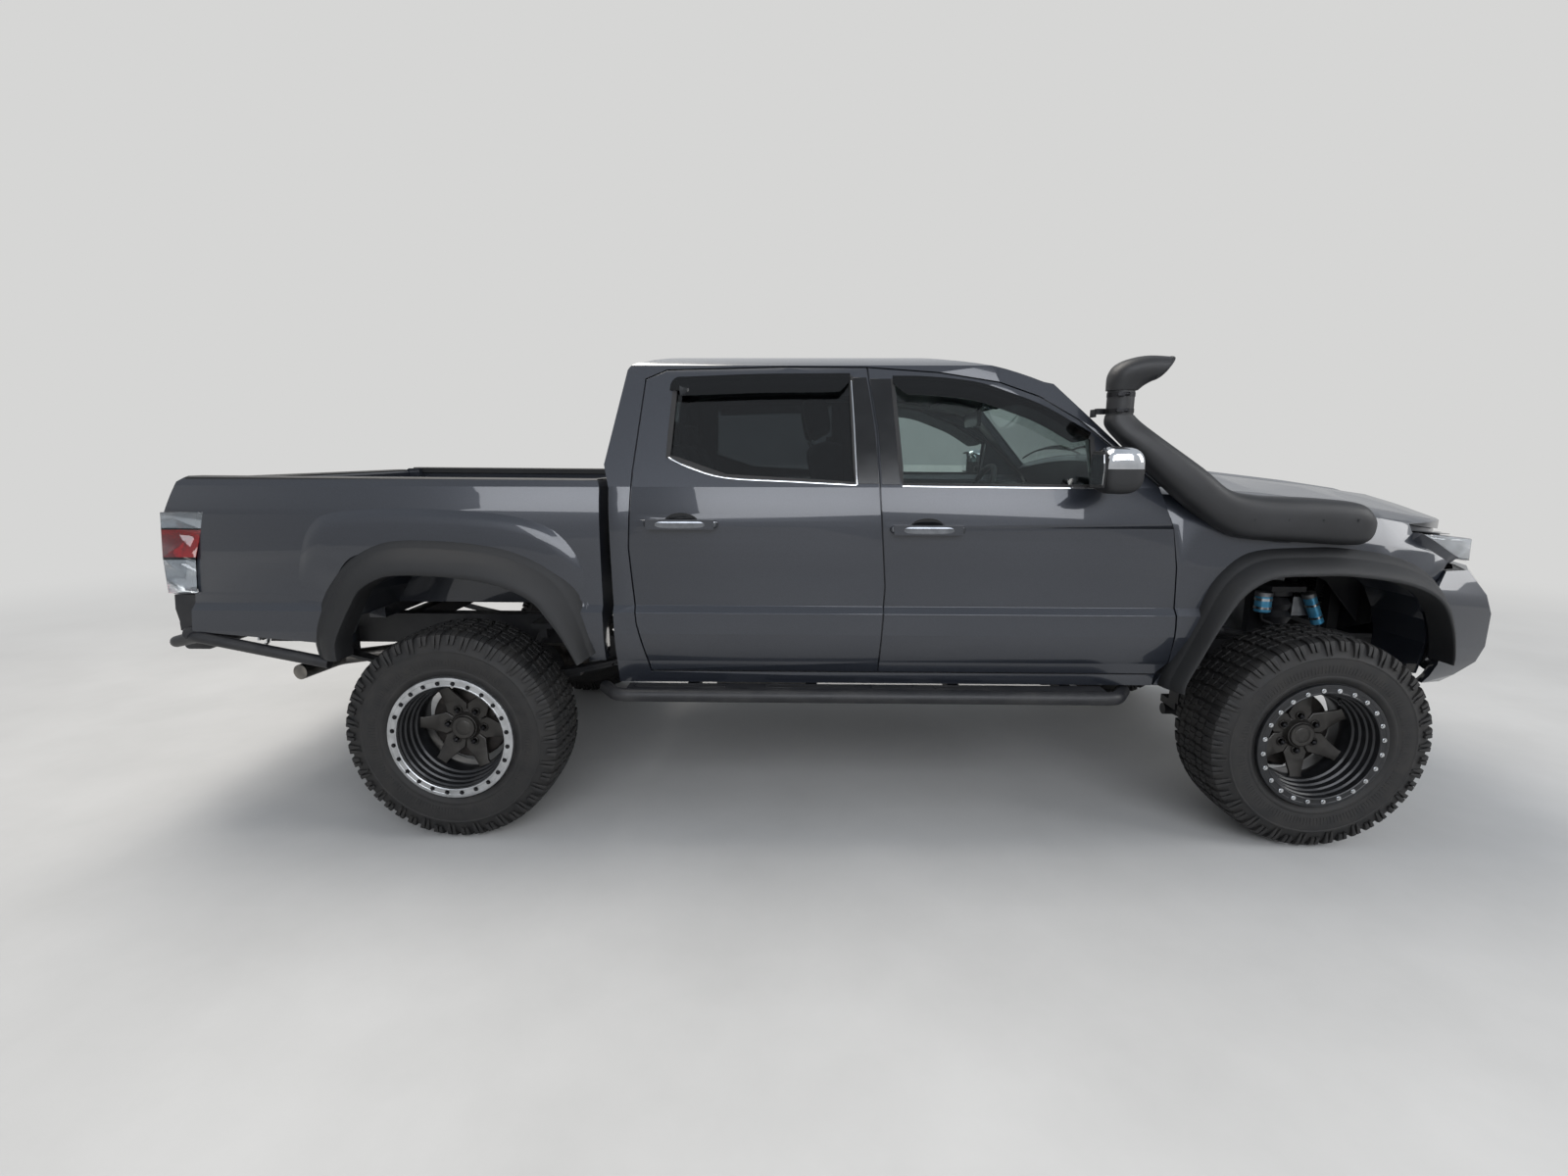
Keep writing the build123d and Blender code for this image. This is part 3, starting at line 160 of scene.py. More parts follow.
# Tempered glass with a dye in it: clear to look through, dark where it is privacy glass
def makeGlass(name, tint, grime):
    material, tree, shader, place = startMaterial(name, {
        "Transmission Weight": 1.0, "IOR": 1.45, "Roughness": 0.0})
    film = addNode(tree, "ShaderNodeTexNoise", {"Scale": 9.0, "Detail": 5.0}, {"Vector": place})
    colour = addNode(tree, "ShaderNodeValToRGB", {"stops": [(0.3, tint), (0.8, grime)]},
                     {"Fac": film.outputs["Fac"]})
    joinSockets(tree, shader, {"Base Color": colour.outputs["Color"]})
    clearShadow(tree, shader, tint)
    return material


# Woven polyester seat cloth: soft sheen, slight fading. Real threads lie about 2 mm apart, so
# the weave is drawn at 3.2 mm to show.
def makeCloth():
    weft = {"thread": "#2A2B2E", "fade": "#3B3C40", "pitchMm": 3.2}
    material, tree, shader, place = startMaterial("seatCloth", {
        "Roughness": 0.86, "Sheen Weight": 0.3, "Sheen Roughness": 0.45})
    across, along = [addNode(tree, "ShaderNodeTexWave", {
        "Scale": 1000 / weft["pitchMm"] / 6.28 * 2, "bands_direction": direction},
        {"Vector": place}).outputs["Fac"] for direction in "XY"]
    weave = addNode(tree, "ShaderNodeMath", {"operation": "MULTIPLY"}, {0: across, 1: along})
    tint = addNode(tree, "ShaderNodeValToRGB", {
        "stops": [(0.0, weft["thread"]), (1.0, weft["fade"])]}, {"Fac": weave.outputs["Value"]})
    bump = addNode(tree, "ShaderNodeBump", {"Strength": 0.5, "Distance": 0.0008},
                   {"Height": weave.outputs["Value"]})
    joinSockets(tree, shader, {"Base Color": tint.outputs["Color"],
                               "Normal": bump.outputs["Normal"]})
    return material


# Lamp lens: injection-moulded polycarbonate, glossy, with fine flutes
def makeLens(name, tone, rough):
    material, tree, shader, place = startMaterial(name, {
        "Transmission Weight": 0.85, "IOR": 1.58, "Roughness": rough, "Coat Weight": 0.6,
        "Coat Roughness": 0.02})
    flutes = addNode(tree, "ShaderNodeTexWave", {"Scale": 60.0, "bands_direction": "Z"},
                     {"Vector": place})
    tint = addNode(tree, "ShaderNodeValToRGB", {"stops": [(0.0, tone), (1.0, tone)]},
                   {"Fac": flutes.outputs["Fac"]})
    bump = addNode(tree, "ShaderNodeBump", {"Strength": 0.05, "Distance": 0.0005},
                   {"Height": flutes.outputs["Fac"]})
    joinSockets(tree, shader, {"Base Color": tint.outputs["Color"],
                               "Normal": bump.outputs["Normal"]})
    clearShadow(tree, shader, tone)
    return material


paint = makePaint()
# Polyester powder coat over steel tube: satin black, faint pebbled skin, dusty edges
powder = makeSurface("powderCoatedSteel", {
    "sockets": {"IOR": 1.5}, "tones": ("#15161A", "#2A2A2B"), "spread": (0.42, 0.72),
    "cloud": {"Scale": 11.0, "Detail": 8.0}, "rough": (0.36, 0.62), "grainMm": 2.4,
    "grain": {"Detail": 2.0}, "bump": (0.18, 0.0004)})
# Carbon-black tyre rubber: moulded, soft sheen, greyed by dust on the tread and in the grooves
rubber = makeSurface("tyreRubber", {
    "sockets": {"IOR": 1.52}, "tones": ("#121213", "#292725"), "spread": (0.38, 0.8),
    "cloud": {"Scale": 16.0, "Detail": 8.0, "Roughness": 0.65}, "rough": (0.52, 0.86),
    "grainMm": 1.6, "grain": {"Detail": 3.0}, "bump": (0.22, 0.0005)})

# Moulded in black: dull on flares and pads, mirror-like on gloss trim and screens
arch = makeMoulded("grainedPolypropylene", "#101113", "#1B1C1E", 1.8, 0.6, 0.5)
smoothBlack = makeMoulded("glossBlackAbs", "#0E0F11", "#17181A", 6.0, 0.14, 0.03)
snorkelPlastic = makeMoulded("uvStablePolyethylene", "#151618", "#222326", 1.2, 0.48, 0.25)
# Seal rubber is also laid as painted shade on the floors of the slider slots
sealRubberAndSlotShade = makeMoulded("epdmRubberAndSlotShade", "#121213", "#1E1E1F", 1.5, 0.62, 0.2)
screenDark = makeMoulded("displayGlass", "#07090C", "#0B0D11", 9.0, 0.08, 0.0)
# Lining and liners: matt greys that catch little light, carpet the roughest
trimSoft = makeMoulded("softTouchDashSkin", "#26272A", "#323337", 2.2, 0.6, 0.5)
liner = makeMoulded("texturedBedLiner", "#202124", "#313236", 4.0, 0.72, 0.7)
carpet = makeMoulded("needledCarpet", "#1F2022", "#2D2E30", 2.6, 0.92, 0.9)
roofLining = makeMoulded("wovenRoofLining", "#8F918F", "#A3A5A3", 1.4, 0.9, 0.4)
tankPlastic = makeMoulded("naturalPolypropylene", "#C9C6B8", "#D8D5C8", 2.0, 0.4, 0.1)  # milky

# Sprayed wheels: satin paint over cast alloy, so the highlights stay wide and dim
wheelBlack = makeMetal("satinBlackWheelPaint", "#17181A", "#26272A", 0.32, 0.5, 1.2, 0.12,
                       0.35, 0.25)
starGraphite = makeMetal("satinGraphiteWheelPaint", "#2C2A28", "#3B3936", 0.38, 0.54, 1.2, 0.1,
                         0.45, 0.15)
# Bare, cast and plated metals, from dull iron to mirror-bright chrome
castIron = makeMetal("castIron", "#4A4746", "#6B6661", 0.45, 0.7, 1.6, 0.5)
castAlloy = makeMetal("castAluminium", "#85878A", "#A7A9AB", 0.42, 0.6, 1.8, 0.45)
blackOxide = makeMetal("blackOxideSteel", "#2B2B2D", "#3C3C3E", 0.35, 0.5, 0.9, 0.1)
ringSilver = makeMetal("bareAluminiumRing", "#A9ABAD", "#C4C6C8", 0.3, 0.46, 0.8, 0.25)
stainless = makeMetal("stainlessTube", "#6B6966", "#8E8A84", 0.28, 0.5, 1.0, 0.12)
zincBright = makeMetal("zincPlatedSteel", "#B9BBBD", "#DADCDE", 0.2, 0.36, 0.7, 0.1)
smokedChrome = makeMetal("smokedChromePlate", "#6A6D72", "#85888D", 0.12, 0.2, 5.0, 0.02)
chrome = makeMetal("platedChrome", "#D5D8DC", "#E6E8EB", 0.05, 0.1, 4.0, 0.01)
mirrorGlass = makeMetal("mirrorSilvering", "#E9ECEE", "#F0F2F4", 0.02, 0.03, 9.0, 0.0)
shockBlue = makeMetal("anodisedBlueShock", "#4FA3CF", "#6FB9DD", 0.25, 0.38, 1.5, 0.05, 0.55)

privacyGlass = makeGlass("privacyGlass", "#6E7477", "#767C7F")
clearGlass = makeGlass("temperedGlass", "#C9D4D2", "#C4CFCD")
smoked = makeGlass("smokedAcrylic", "#3C3E40", "#424446")
cloth = makeCloth()
clearLens = makeLens("clearPolycarbonate", "#F2F5F7", 0.02)
redLens = makeLens("redPolycarbonate", "#A80F14", 0.04)
smokeLens = makeLens("smokedPolycarbonate", "#B4BBC1", 0.02)
print("scene: materials made")


# Shape helpers. Rows are in millimetres in the row frame, and mm gives their point in metres.
def mm(x, y, z):
    return Vector((x, y, z)) * 0.001


def around(steps, shift=0.0):
    return [tau * (step + shift) / steps for step in range(steps)]


def softened(value, power):
    return abs(value) ** power * (1 if value > 0 else -1)


def onPlane(axis, row, along):
    return mm(row[0], along, row[1]) if axis == "Y" else mm(along, row[0], row[1])


# Section rows with their mirror image, a lid with two corners cut, and a plate with four cut
def bothHalves(rows):
    return rows + [(-across, high) for across, high in rows[::-1]]


def lidRows(near, far, low, high, cut, drop):
    return [(near, low), (near, high - drop), (near + cut, high), (far - cut, high),
            (far, high - drop), (far, low)]


def cutCorners(half, low, high, cut, drop):
    return bothHalves([(half - cut, low), (half, low + drop), (half, high - drop),
                       (half - cut, high)])


def addPrism(bm, rows, axis, low, high, mat=0):
    near = [bm.verts.new(onPlane(axis, row, low)) for row in rows]
    far = [bm.verts.new(onPlane(axis, row, high)) for row in rows]
    count = len(rows)
    faces = [bm.faces.new(near), bm.faces.new(far[::-1])]
    for i in range(count):
        j = (i + 1) % count
        faces.append(bm.faces.new((near[i], far[i], far[j], near[j])))
    for face in faces:
        face.material_index = mat
    return faces


def addBlock(bm, x0, x1, y0, y1, z0, z1, mat=0):
    y0, y1 = sorted((y0, y1))
    return addPrism(bm, [(x0, z0), (x1, z0), (x1, z1), (x0, z1)], "Y", y0, y1, mat)


def addRings(bm, rings, mat=0, closed=False, capped=True):
    made = [[bm.verts.new(point) for point in ring] for ring in rings]
    count = len(made[0])
    pairs = list(zip(made, made[1:]))
    if closed:
        pairs.append((made[-1], made[0]))
    for here, there in pairs:
        for i in range(count):
            j = (i + 1) % count
            face = bm.faces.new((here[i], here[j], there[j], there[i]))
            face.material_index = mat
    if capped and not closed:
        for ring in (made[0][::-1], made[-1]):
            bm.faces.new(ring).material_index = mat
    return made


def addLathe(bm, rows, steps, centre=(0, 0, 0), side=rightSide, mat=0):
    middle = Vector(centre) * 0.001
    return addRings(bm, [[middle + mm(radius * cos(turn), side * across, radius * sin(turn))
                          for across, radius in rows] for turn in around(steps)],
                    mat, closed=True, capped=False)


def addRod(bm, start, end, radius, sides=16, mat=0, endRadius=None):
    a = Vector(start) * 0.001
    b = Vector(end) * 0.001
    along = (b - a).normalized()
    across = along.orthogonal().normalized()
    other = along.cross(across)
    return addRings(bm, [[middle + (across * cos(turn) + other * sin(turn)) * size * 0.001
                          for turn in around(sides)] for middle, size in (
        (a, radius), (b, radius if endRadius is None else endRadius))], mat)


# Ring turned about an axis, from (along, radius) rows that close on themselves
def addTurned(bm, centre, out, rows, steps=32, mat=0):
    along = Vector(out).normalized()
    across = along.orthogonal().normalized()
    other = along.cross(across)
    rings = []
    for turn in around(steps):
        ray = across * cos(turn) + other * sin(turn)
        rings.append([(Vector(centre) + along * reach + ray * radius) * 0.001
                      for reach, radius in rows])
    return addRings(bm, rings, mat, closed=True, capped=False)


def addTube(bm, points, radius, sides=14, mat=0, squash=1.0):
    spots = [Vector(p) * 0.001 for p in points]
    rings = []
    across = None
    for i, spot in enumerate(spots):
        ahead = spots[min(i + 1, len(spots) - 1)] - spots[max(i - 1, 0)]
        ahead.normalize()
        if across is None:
            across = ahead.orthogonal().normalized()
        across = (across - ahead * across.dot(ahead)).normalized()
        other = ahead.cross(across)
        rings.append([spot + (across * cos(turn) * squash + other * sin(turn)) * radius * 0.001
                      for turn in around(sides)])
    return addRings(bm, rings, mat)


def smoothStep(value):
    value = max(0.0, min(1.0, value))
    return value * value * (3 - 2 * value)


def smoothPath(points, steps=6):
    spots = [Vector(p) for p in points]
    path = []
    for i in range(len(spots) - 1):
        before = spots[max(i - 1, 0)]
        here, there = spots[i], spots[i + 1]
        after = spots[min(i + 2, len(spots) - 1)]
        for k in range(steps):
            t = k / steps
            path.append(0.5 * ((2 * here) + (there - before) * t
                               + (2 * before - 5 * here + 4 * there - after) * t ** 2
                               + (3 * here - before - 3 * there + after) * t ** 3))
    path.append(spots[-1])
    return [tuple(p) for p in path]


def addBolt(bm, centre, out, radius, high, mat=0, sides=6):
    out = Vector(out).normalized()
    centre = Vector(centre)
    addRod(bm, centre, centre + out * high * 0.35, radius * 1.35, 12, mat)
    addRod(bm, centre + out * high * 0.3, centre + out * high, radius, sides, mat, radius * 0.86)


def finishPiece(bm, name, materials, body, bevel=0.0, segments=2, angle=35, smooth=True):
    bmesh.ops.recalc_face_normals(bm, faces=bm.faces)
    mesh = bpy.data.meshes.new(name)
    bm.to_mesh(mesh)
    bm.free()
    for material in materials:
        mesh.materials.append(material)
    piece = bpy.data.objects.new(name, mesh)
    bpy.context.scene.collection.objects.link(piece)
    if smooth:
        mesh.shade_smooth()
        mesh.set_sharp_from_angle(angle=radians(angle))
    if bevel:
        edge = piece.modifiers.new("roundedEdges", "BEVEL")
        edge.width = bevel * 0.001
        edge.segments = segments
        edge.limit_method = "ANGLE"
        edge.angle_limit = radians(angle)
        edge.harden_normals = False
    if body:
        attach(piece, body)
    return piece


# The same form on the other side, in place of the given one
def mirrored(bm):
    other = bm.copy()
    for vert in other.verts:
        vert.co.y = -vert.co.y
    bmesh.ops.reverse_faces(other, faces=other.faces)
    bm.free()
    return other


def bothSides(build, name, materials, bodies=("body", "body"), **finish):
    pieces = []
    for side, body in zip(("right", "left"), bodies):
        bm = build() if side == "right" else mirrored(build())
        pieces.append(finishPiece(bm, name + "_" + side, materials, body, **finish))
    return pieces


# Camera at the photograph's place and angle
cameraFit = {"place": (-0.1597, -3.5102, 1.4693), "yaw": 1.03, "pitch": 10.71, "roll": -0.13,
             "lens": 16.41, "sensor": 36.0}


def placeCamera():
    yaw, pitch, roll = (radians(cameraFit[key]) for key in ("yaw", "pitch", "roll"))
    right = Vector((cos(yaw), sin(yaw), 0))
    ahead = Vector((-sin(yaw) * cos(pitch), cos(yaw) * cos(pitch), -sin(pitch)))
    down = ahead.cross(right)
    rolledRight = right * cos(roll) + down * sin(roll)
    rolledDown = down * cos(roll) - right * sin(roll)
    turn = Matrix((rolledRight, -rolledDown, -ahead)).transposed().to_4x4()
    data = bpy.data.cameras.new("camera")
    data.lens = cameraFit["lens"]
    data.sensor_width = cameraFit["sensor"]
    data.sensor_fit = "HORIZONTAL"
    data.clip_end = 300
    camera = bpy.data.objects.new("camera", data)
    camera.matrix_world = Matrix.Translation(cameraFit["place"]) @ turn
    bpy.context.scene.collection.objects.link(camera)
    bpy.context.scene.camera = camera


placeCamera()

# Studio: a pale floor, an even world and large soft lamps (place, aim, size, watts, colour)
studio = {
    "low": "#ABABAA", "high": "#B8B8B7", "far": "#D6D6D5", "reach": 90.0, "blend": (3.6, 10.0),
    "sky": 0.85, "skyTones": [(0.0, "#C0C1C2"), (0.35, "#D2D5D9"), (1.0, "#C3CAD3")],
    "lamps": [("keyLamp", (-2.5, 2.0, 8.0), (0.6, 0, 0.6), (6, 6), 760, "#FFF9F1"),
              ("fillLamp", (1.0, -8.5, 5.0), (0.2, 0, 1.0), (9, 4), 470, "#F6F9FF"),
              ("noseLamp", (8.0, -3.0, 4.5), (1.0, 0, 1.0), (4, 4), 210, "#FFFFFF")]}


def makeStudio():
    bm = bmesh.new()
    bmesh.ops.create_circle(bm, cap_ends=True, radius=studio["reach"], segments=64)
    floor = finishPiece(bm, "floor", [], None, smooth=False)
    material, tree, shader, place = startMaterial("brushedConcrete", {"Roughness": 0.8})
    cloud = addNode(tree, "ShaderNodeTexNoise", {"Scale": 0.9, "Detail": 8.0, "Roughness": 0.6},
                    {"Vector": place})
    tint = addNode(tree, "ShaderNodeValToRGB", {
        "stops": [(0.3, studio["low"]), (0.7, studio["high"])]}, {"Fac": cloud.outputs["Fac"]})
    grit = addNode(tree, "ShaderNodeTexNoise", {"Scale": 160.0, "Detail": 3.0}, {"Vector": place})
    bump = addNode(tree, "ShaderNodeBump", {"Strength": 0.15, "Distance": 0.001},
                   {"Height": grit.outputs["Fac"]})
    joinSockets(tree, shader, {"Base Color": tint.outputs["Color"],
                               "Normal": bump.outputs["Normal"]})
    away = addNode(tree, "ShaderNodeVectorMath", {"operation": "LENGTH"}, {0: place})
    fade = addNode(tree, "ShaderNodeMapRange", {
        "interpolation_type": "SMOOTHSTEP", "From Min": studio["blend"][0],
        "From Max": studio["blend"][1]}, {"Value": away.outputs["Value"]})
    wall = addNode(tree, "ShaderNodeEmission", {"Color": toLinear(studio["far"])})
    sweep = addNode(tree, "ShaderNodeMixShader", {}, {
        0: fade.outputs["Result"], 1: shader.outputs["BSDF"], 2: wall.outputs["Emission"]})
    joinSockets(tree, tree.nodes["Material Output"], {"Surface": sweep.outputs["Shader"]})
    floor.data.materials.append(material)
    world = bpy.data.worlds.new("studioWorld")
    bpy.context.scene.world = world
    world.use_nodes = True
    tree = world.node_tree
    shade = tree.nodes["Background"]
    place = addNode(tree, "ShaderNodeTexCoord")
    split = addNode(tree, "ShaderNodeSeparateXYZ", {}, {"Vector": place.outputs["Generated"]})
    sky = addNode(tree, "ShaderNodeValToRGB", {"stops": studio["skyTones"]},
                  {"Fac": split.outputs["Z"]})
    joinSockets(tree, shade, {"Color": sky.outputs["Color"]})
    shade.inputs["Strength"].default_value = studio["sky"]
    seen = addNode(tree, "ShaderNodeBackground", {"Color": toLinear(studio["far"]),
                                                 "Strength": 1.0})
    path = addNode(tree, "ShaderNodeLightPath")
    choose = addNode(tree, "ShaderNodeMixShader", {}, {
        0: path.outputs["Is Camera Ray"], 1: shade.outputs["Background"],
        2: seen.outputs["Background"]})
    joinSockets(tree, tree.nodes["World Output"], {"Surface": choose.outputs["Shader"]})
    for name, spot, aim, size, power, colour in studio["lamps"]:
        data = bpy.data.lights.new(name, "AREA")
        data.shape = "RECTANGLE"
        data.size, data.size_y = size
        data.energy = power
        data.color = toLinear(colour)[:3]
        lamp = bpy.data.objects.new(name, data)
        lamp.location = spot
        lamp.rotation_euler = (Vector(aim) - Vector(spot)).to_track_quat("-Z", "Y").to_euler()
        bpy.context.scene.collection.objects.link(lamp)
    bpy.context.scene.view_settings.view_transform = "Standard"


makeStudio()
print("scene: camera and studio ready")

# Finishes of the CAD nodes: material, rounding of the edges in mm, nodes
nodeFinish = [
    (paint, 3.0, "cab bed hood front_fenders front_bumper"), (paint, 0.0, "tailgate"),
    (paint, 2.0, "door_front_right door_front_left door_rear_right door_rear_left"),
    (arch, 3.0, "flares"), (arch, 1.5, "grille"), (arch, 0.0, "fuel_tank"),
    (arch, 6.0, "snorkel"), (arch, 10.0, "mirror_right mirror_left"),
    (clearLens, 0.0, "headlamps"), (redLens, 0.0, "tail_lamps"),
    (clearGlass, 0.0, "cab_glass glass_front_right glass_front_left"),
    (privacyGlass, 0.0, "glass_rear_right glass_rear_left"),
    (powder, 0.0, "frame rear_suspension front_suspension sliders rear_bumper"),
    (castIron, 0.0, "rear_axle"), (castIron, 2.0, "knuckle_right knuckle_left"),
    (castAlloy, 6.0, "engine"), (castAlloy, 3.0, "driveline"), (stainless, 0.0, "exhaust"),
    (trimSoft, 8.0, "dashboard"), (trimSoft, 0.0, "steering_wheel"), (cloth, 0.0, "seats"),
    (wheelBlack, 1.0, "rim_front_right rim_front_left rim_rear_right rim_rear_left"),
    (rubber, 0.0, "tyre_front_right tyre_front_left tyre_rear_right tyre_rear_left")]


def dressNodes():
    for material, edge, names in nodeFinish:
        for name in names.split():
            piece = nodes[name]
            piece.data.materials.clear()
            piece.data.materials.append(material)
            if edge:
                weld = piece.modifiers.new("weld", "WELD")
                weld.merge_threshold = 0.00005
                soft = piece.modifiers.new("roundedEdges", "BEVEL")
                soft.width = edge * 0.001
                soft.segments = 2
                soft.limit_method = "ANGLE"
                soft.angle_limit = radians(32)


# Smooth shading over the flat faces of the nose: edges sharper than this stay sharp
shadeLook = {"nodes": ("front_bumper", "hood"), "sharpDeg": 34}


def makeSmoother():
    tree = bpy.data.node_groups.new("smoothByAngle", "GeometryNodeTree")
    for direction in ("INPUT", "OUTPUT"):
        tree.interface.new_socket("Geometry", in_out=direction,
                                  socket_type="NodeSocketGeometry")
    start = addNode(tree, "NodeGroupInput")
    bend = addNode(tree, "GeometryNodeInputMeshEdgeAngle")
    limit = addNode(tree, "ShaderNodeMath", {
        "operation": "GREATER_THAN", 1: radians(shadeLook["sharpDeg"])},
        {0: bend.outputs["Unsigned Angle"]})
    faces = addNode(tree, "GeometryNodeSetShadeSmooth", {"Shade Smooth": True},
                    {"Geometry": start.outputs[0]})
    edges = addNode(tree, "GeometryNodeSetShadeSmooth", {
        "domain": "EDGE", "Shade Smooth": False},
        {"Geometry": faces.outputs[0], "Selection": limit.outputs[0]})
    addNode(tree, "NodeGroupOutput", {}, {0: edges.outputs[0]})
    for name in shadeLook["nodes"]:
        nodes[name].modifiers.new("smoothByAngle", "NODES").node_group = tree
        nodes[name].modifiers.new("evenNormals", "WEIGHTED_NORMAL").keep_sharp = True


dressNodes()
makeSmoother()
print("scene: CAD nodes dressed")

# Wheels. Rows are (across from the wheel's centre plane, radius).
tyreLook = {
    "radius": 411.8, "pitches": 46, "ribs": 150, "lugs": ((-21, -1.7), (-0.3, 17)),
    "lugShift": 14 / 410,  # the inner shoulder's lugs come 14 mm later
    "side": [(126.5, 242.5), (130, 246), (133, 252), (137.5, 258), (139.5, 262), (139.5, 268),
             (138.2, 271), (141.6, 290), (142.8, 308), (143.0, 322), (142.2, 334), (143.2, 336),
             (143.2, 340), (140.6, 343), (136.4, 356), (131.0, 372), (125.0, 386), (118, 395),
             (108, 399)],
    "base": [(80, 401), (40, 402.2), (0, 402.6)],
    "inside": bothHalves([(-126, 214.6), (-104, 214.6), (-104, 240), (-127, 290), (-130, 340),
                          (-112, 384)])}


def treadHeight(across):
    return tyreLook["radius"] - 0.00042 * across ** 2 - (max(abs(across) - 96, 0) ** 2) * 0.0035


# One pitch of the tread: rows of (along, across) outlines, 56 mm from one pitch to the next.
# Real all-terrain patterns break each block with thin cuts, so wide blocks come as two halves.
# The other half of the tread is the same, turned end for end.
treadBlocks = [
    [(-25, 6), (-9, 2), (-5, 16), (-9, 34), (-21, 38), (-27, 24)],
    [(-7.5, 2), (9, -1), (22, 9), (20, 25), (8, 33), (-7.5, 34), (-3.5, 16)],
    [(-23, 46), (-4, 41), (-2, 58), (-6, 76), (-22, 80), (-27, 62)],
    [(-2.6, 41), (17, 40), (24, 52), (20, 70), (-4.6, 76), (-0.6, 58)]]
treadBlocks += [[(-u, -v) for u, v in rows] for rows in treadBlocks]


def treadPoint(turn, along, across, radius, side):
    angle = turn + along / tyreLook["radius"]
    return mm(radius * cos(angle), side * across, radius * sin(angle))


def addTreadBlock(bm, turn, rows, side, depth=10.5):
    middleU, middleV = (sum(values) / len(rows) for values in zip(*rows))
    rings = []
    for shrinkU, shrinkV, drop in ((1, 1, depth), (0.95, 0.96, 1.2), (0.88, 0.9, 0)):
        rings.append([treadPoint(turn, middleU + (u - middleU) * shrinkU,
                                 middleV + (v - middleV) * shrinkV, treadHeight(v) - drop, side)
                      for u, v in rows])
    addRings(bm, rings)


# Shoulder block that wraps over the edge and down the sidewall, as a lofted strip. Stations:
# across, drop, thickness, narrowing, lean in degrees.
def addShoulderLug(bm, turn, low, high, reachDown, side):
    stations = [(86, 0, 9.5, 0.0, 0), (104, 0, 9.5, 0.0, 0), (122, 0, 9.5, 0.0, 0),
                (131.5, 1.6, 11.0, 0.6, 42), (137.6, 16, 9.0, 2.0, 62), (141.8, 34, 6.4, 4.0, 76),
                (143.3, 52, 3.2, 7.0, 84)]
    rings = []
    for across, drop, lift, narrow, lean in stations if reachDown else stations[:-1]:
        radius = treadHeight(122) - 3 - drop if drop else treadHeight(across)
        slope = radians(lean)
        inner = (across - lift * sin(slope), radius - lift * cos(slope))
        a, b = low + narrow, high - narrow
        rings.append([treadPoint(turn, along, spot, high, side) for along, spot, high in (
            (a - 0.8, *inner), (a, across - 0.4, radius - 1.0), (a + 1.5, across, radius),
            (b - 1.5, across, radius), (b, across - 0.4, radius - 1.0), (b + 0.8, *inner))])
    addRings(bm, rings)


def buildTyre(side):
    bm = bmesh.new()
    outer = tyreLook["side"]
    profile = outer + tyreLook["base"] + [(-a, r) for a, r in tyreLook["base"][-2::-1]]
    profile += [(-a, r) for a, r in outer[::-1]] + tyreLook["inside"]
    addLathe(bm, profile, 92, side=side)
    for count, turn in enumerate(around(tyreLook["pitches"])):
        wobble = 1.0 if count % 3 else 0.94
        for rows in treadBlocks:
            addTreadBlock(bm, turn, [(u * wobble, v) for u, v in rows], side)
        for flip, shift in ((1, 0), (-1, tyreLook["lugShift"])):
            longLug = count % 2 == (flip == -1)
            for low, high in tyreLook["lugs"]:
                addShoulderLug(bm, turn + shift, low, high, longLug, side * flip)
    for flip in (1, -1):
        for turn in around(tyreLook["ribs"]):
            addRings(bm, [[treadPoint(turn, u * tyreLook["radius"] / radius, across + v, radius,
                                      side * flip)
                           for u, v in ((-2.0, -2.0), (-0.9, 0.1), (0.9, 0.1), (2.0, -2.0))]
                          for across, radius in ((142.2, 284), (143.1, 298), (143.4, 312))])
    return bm


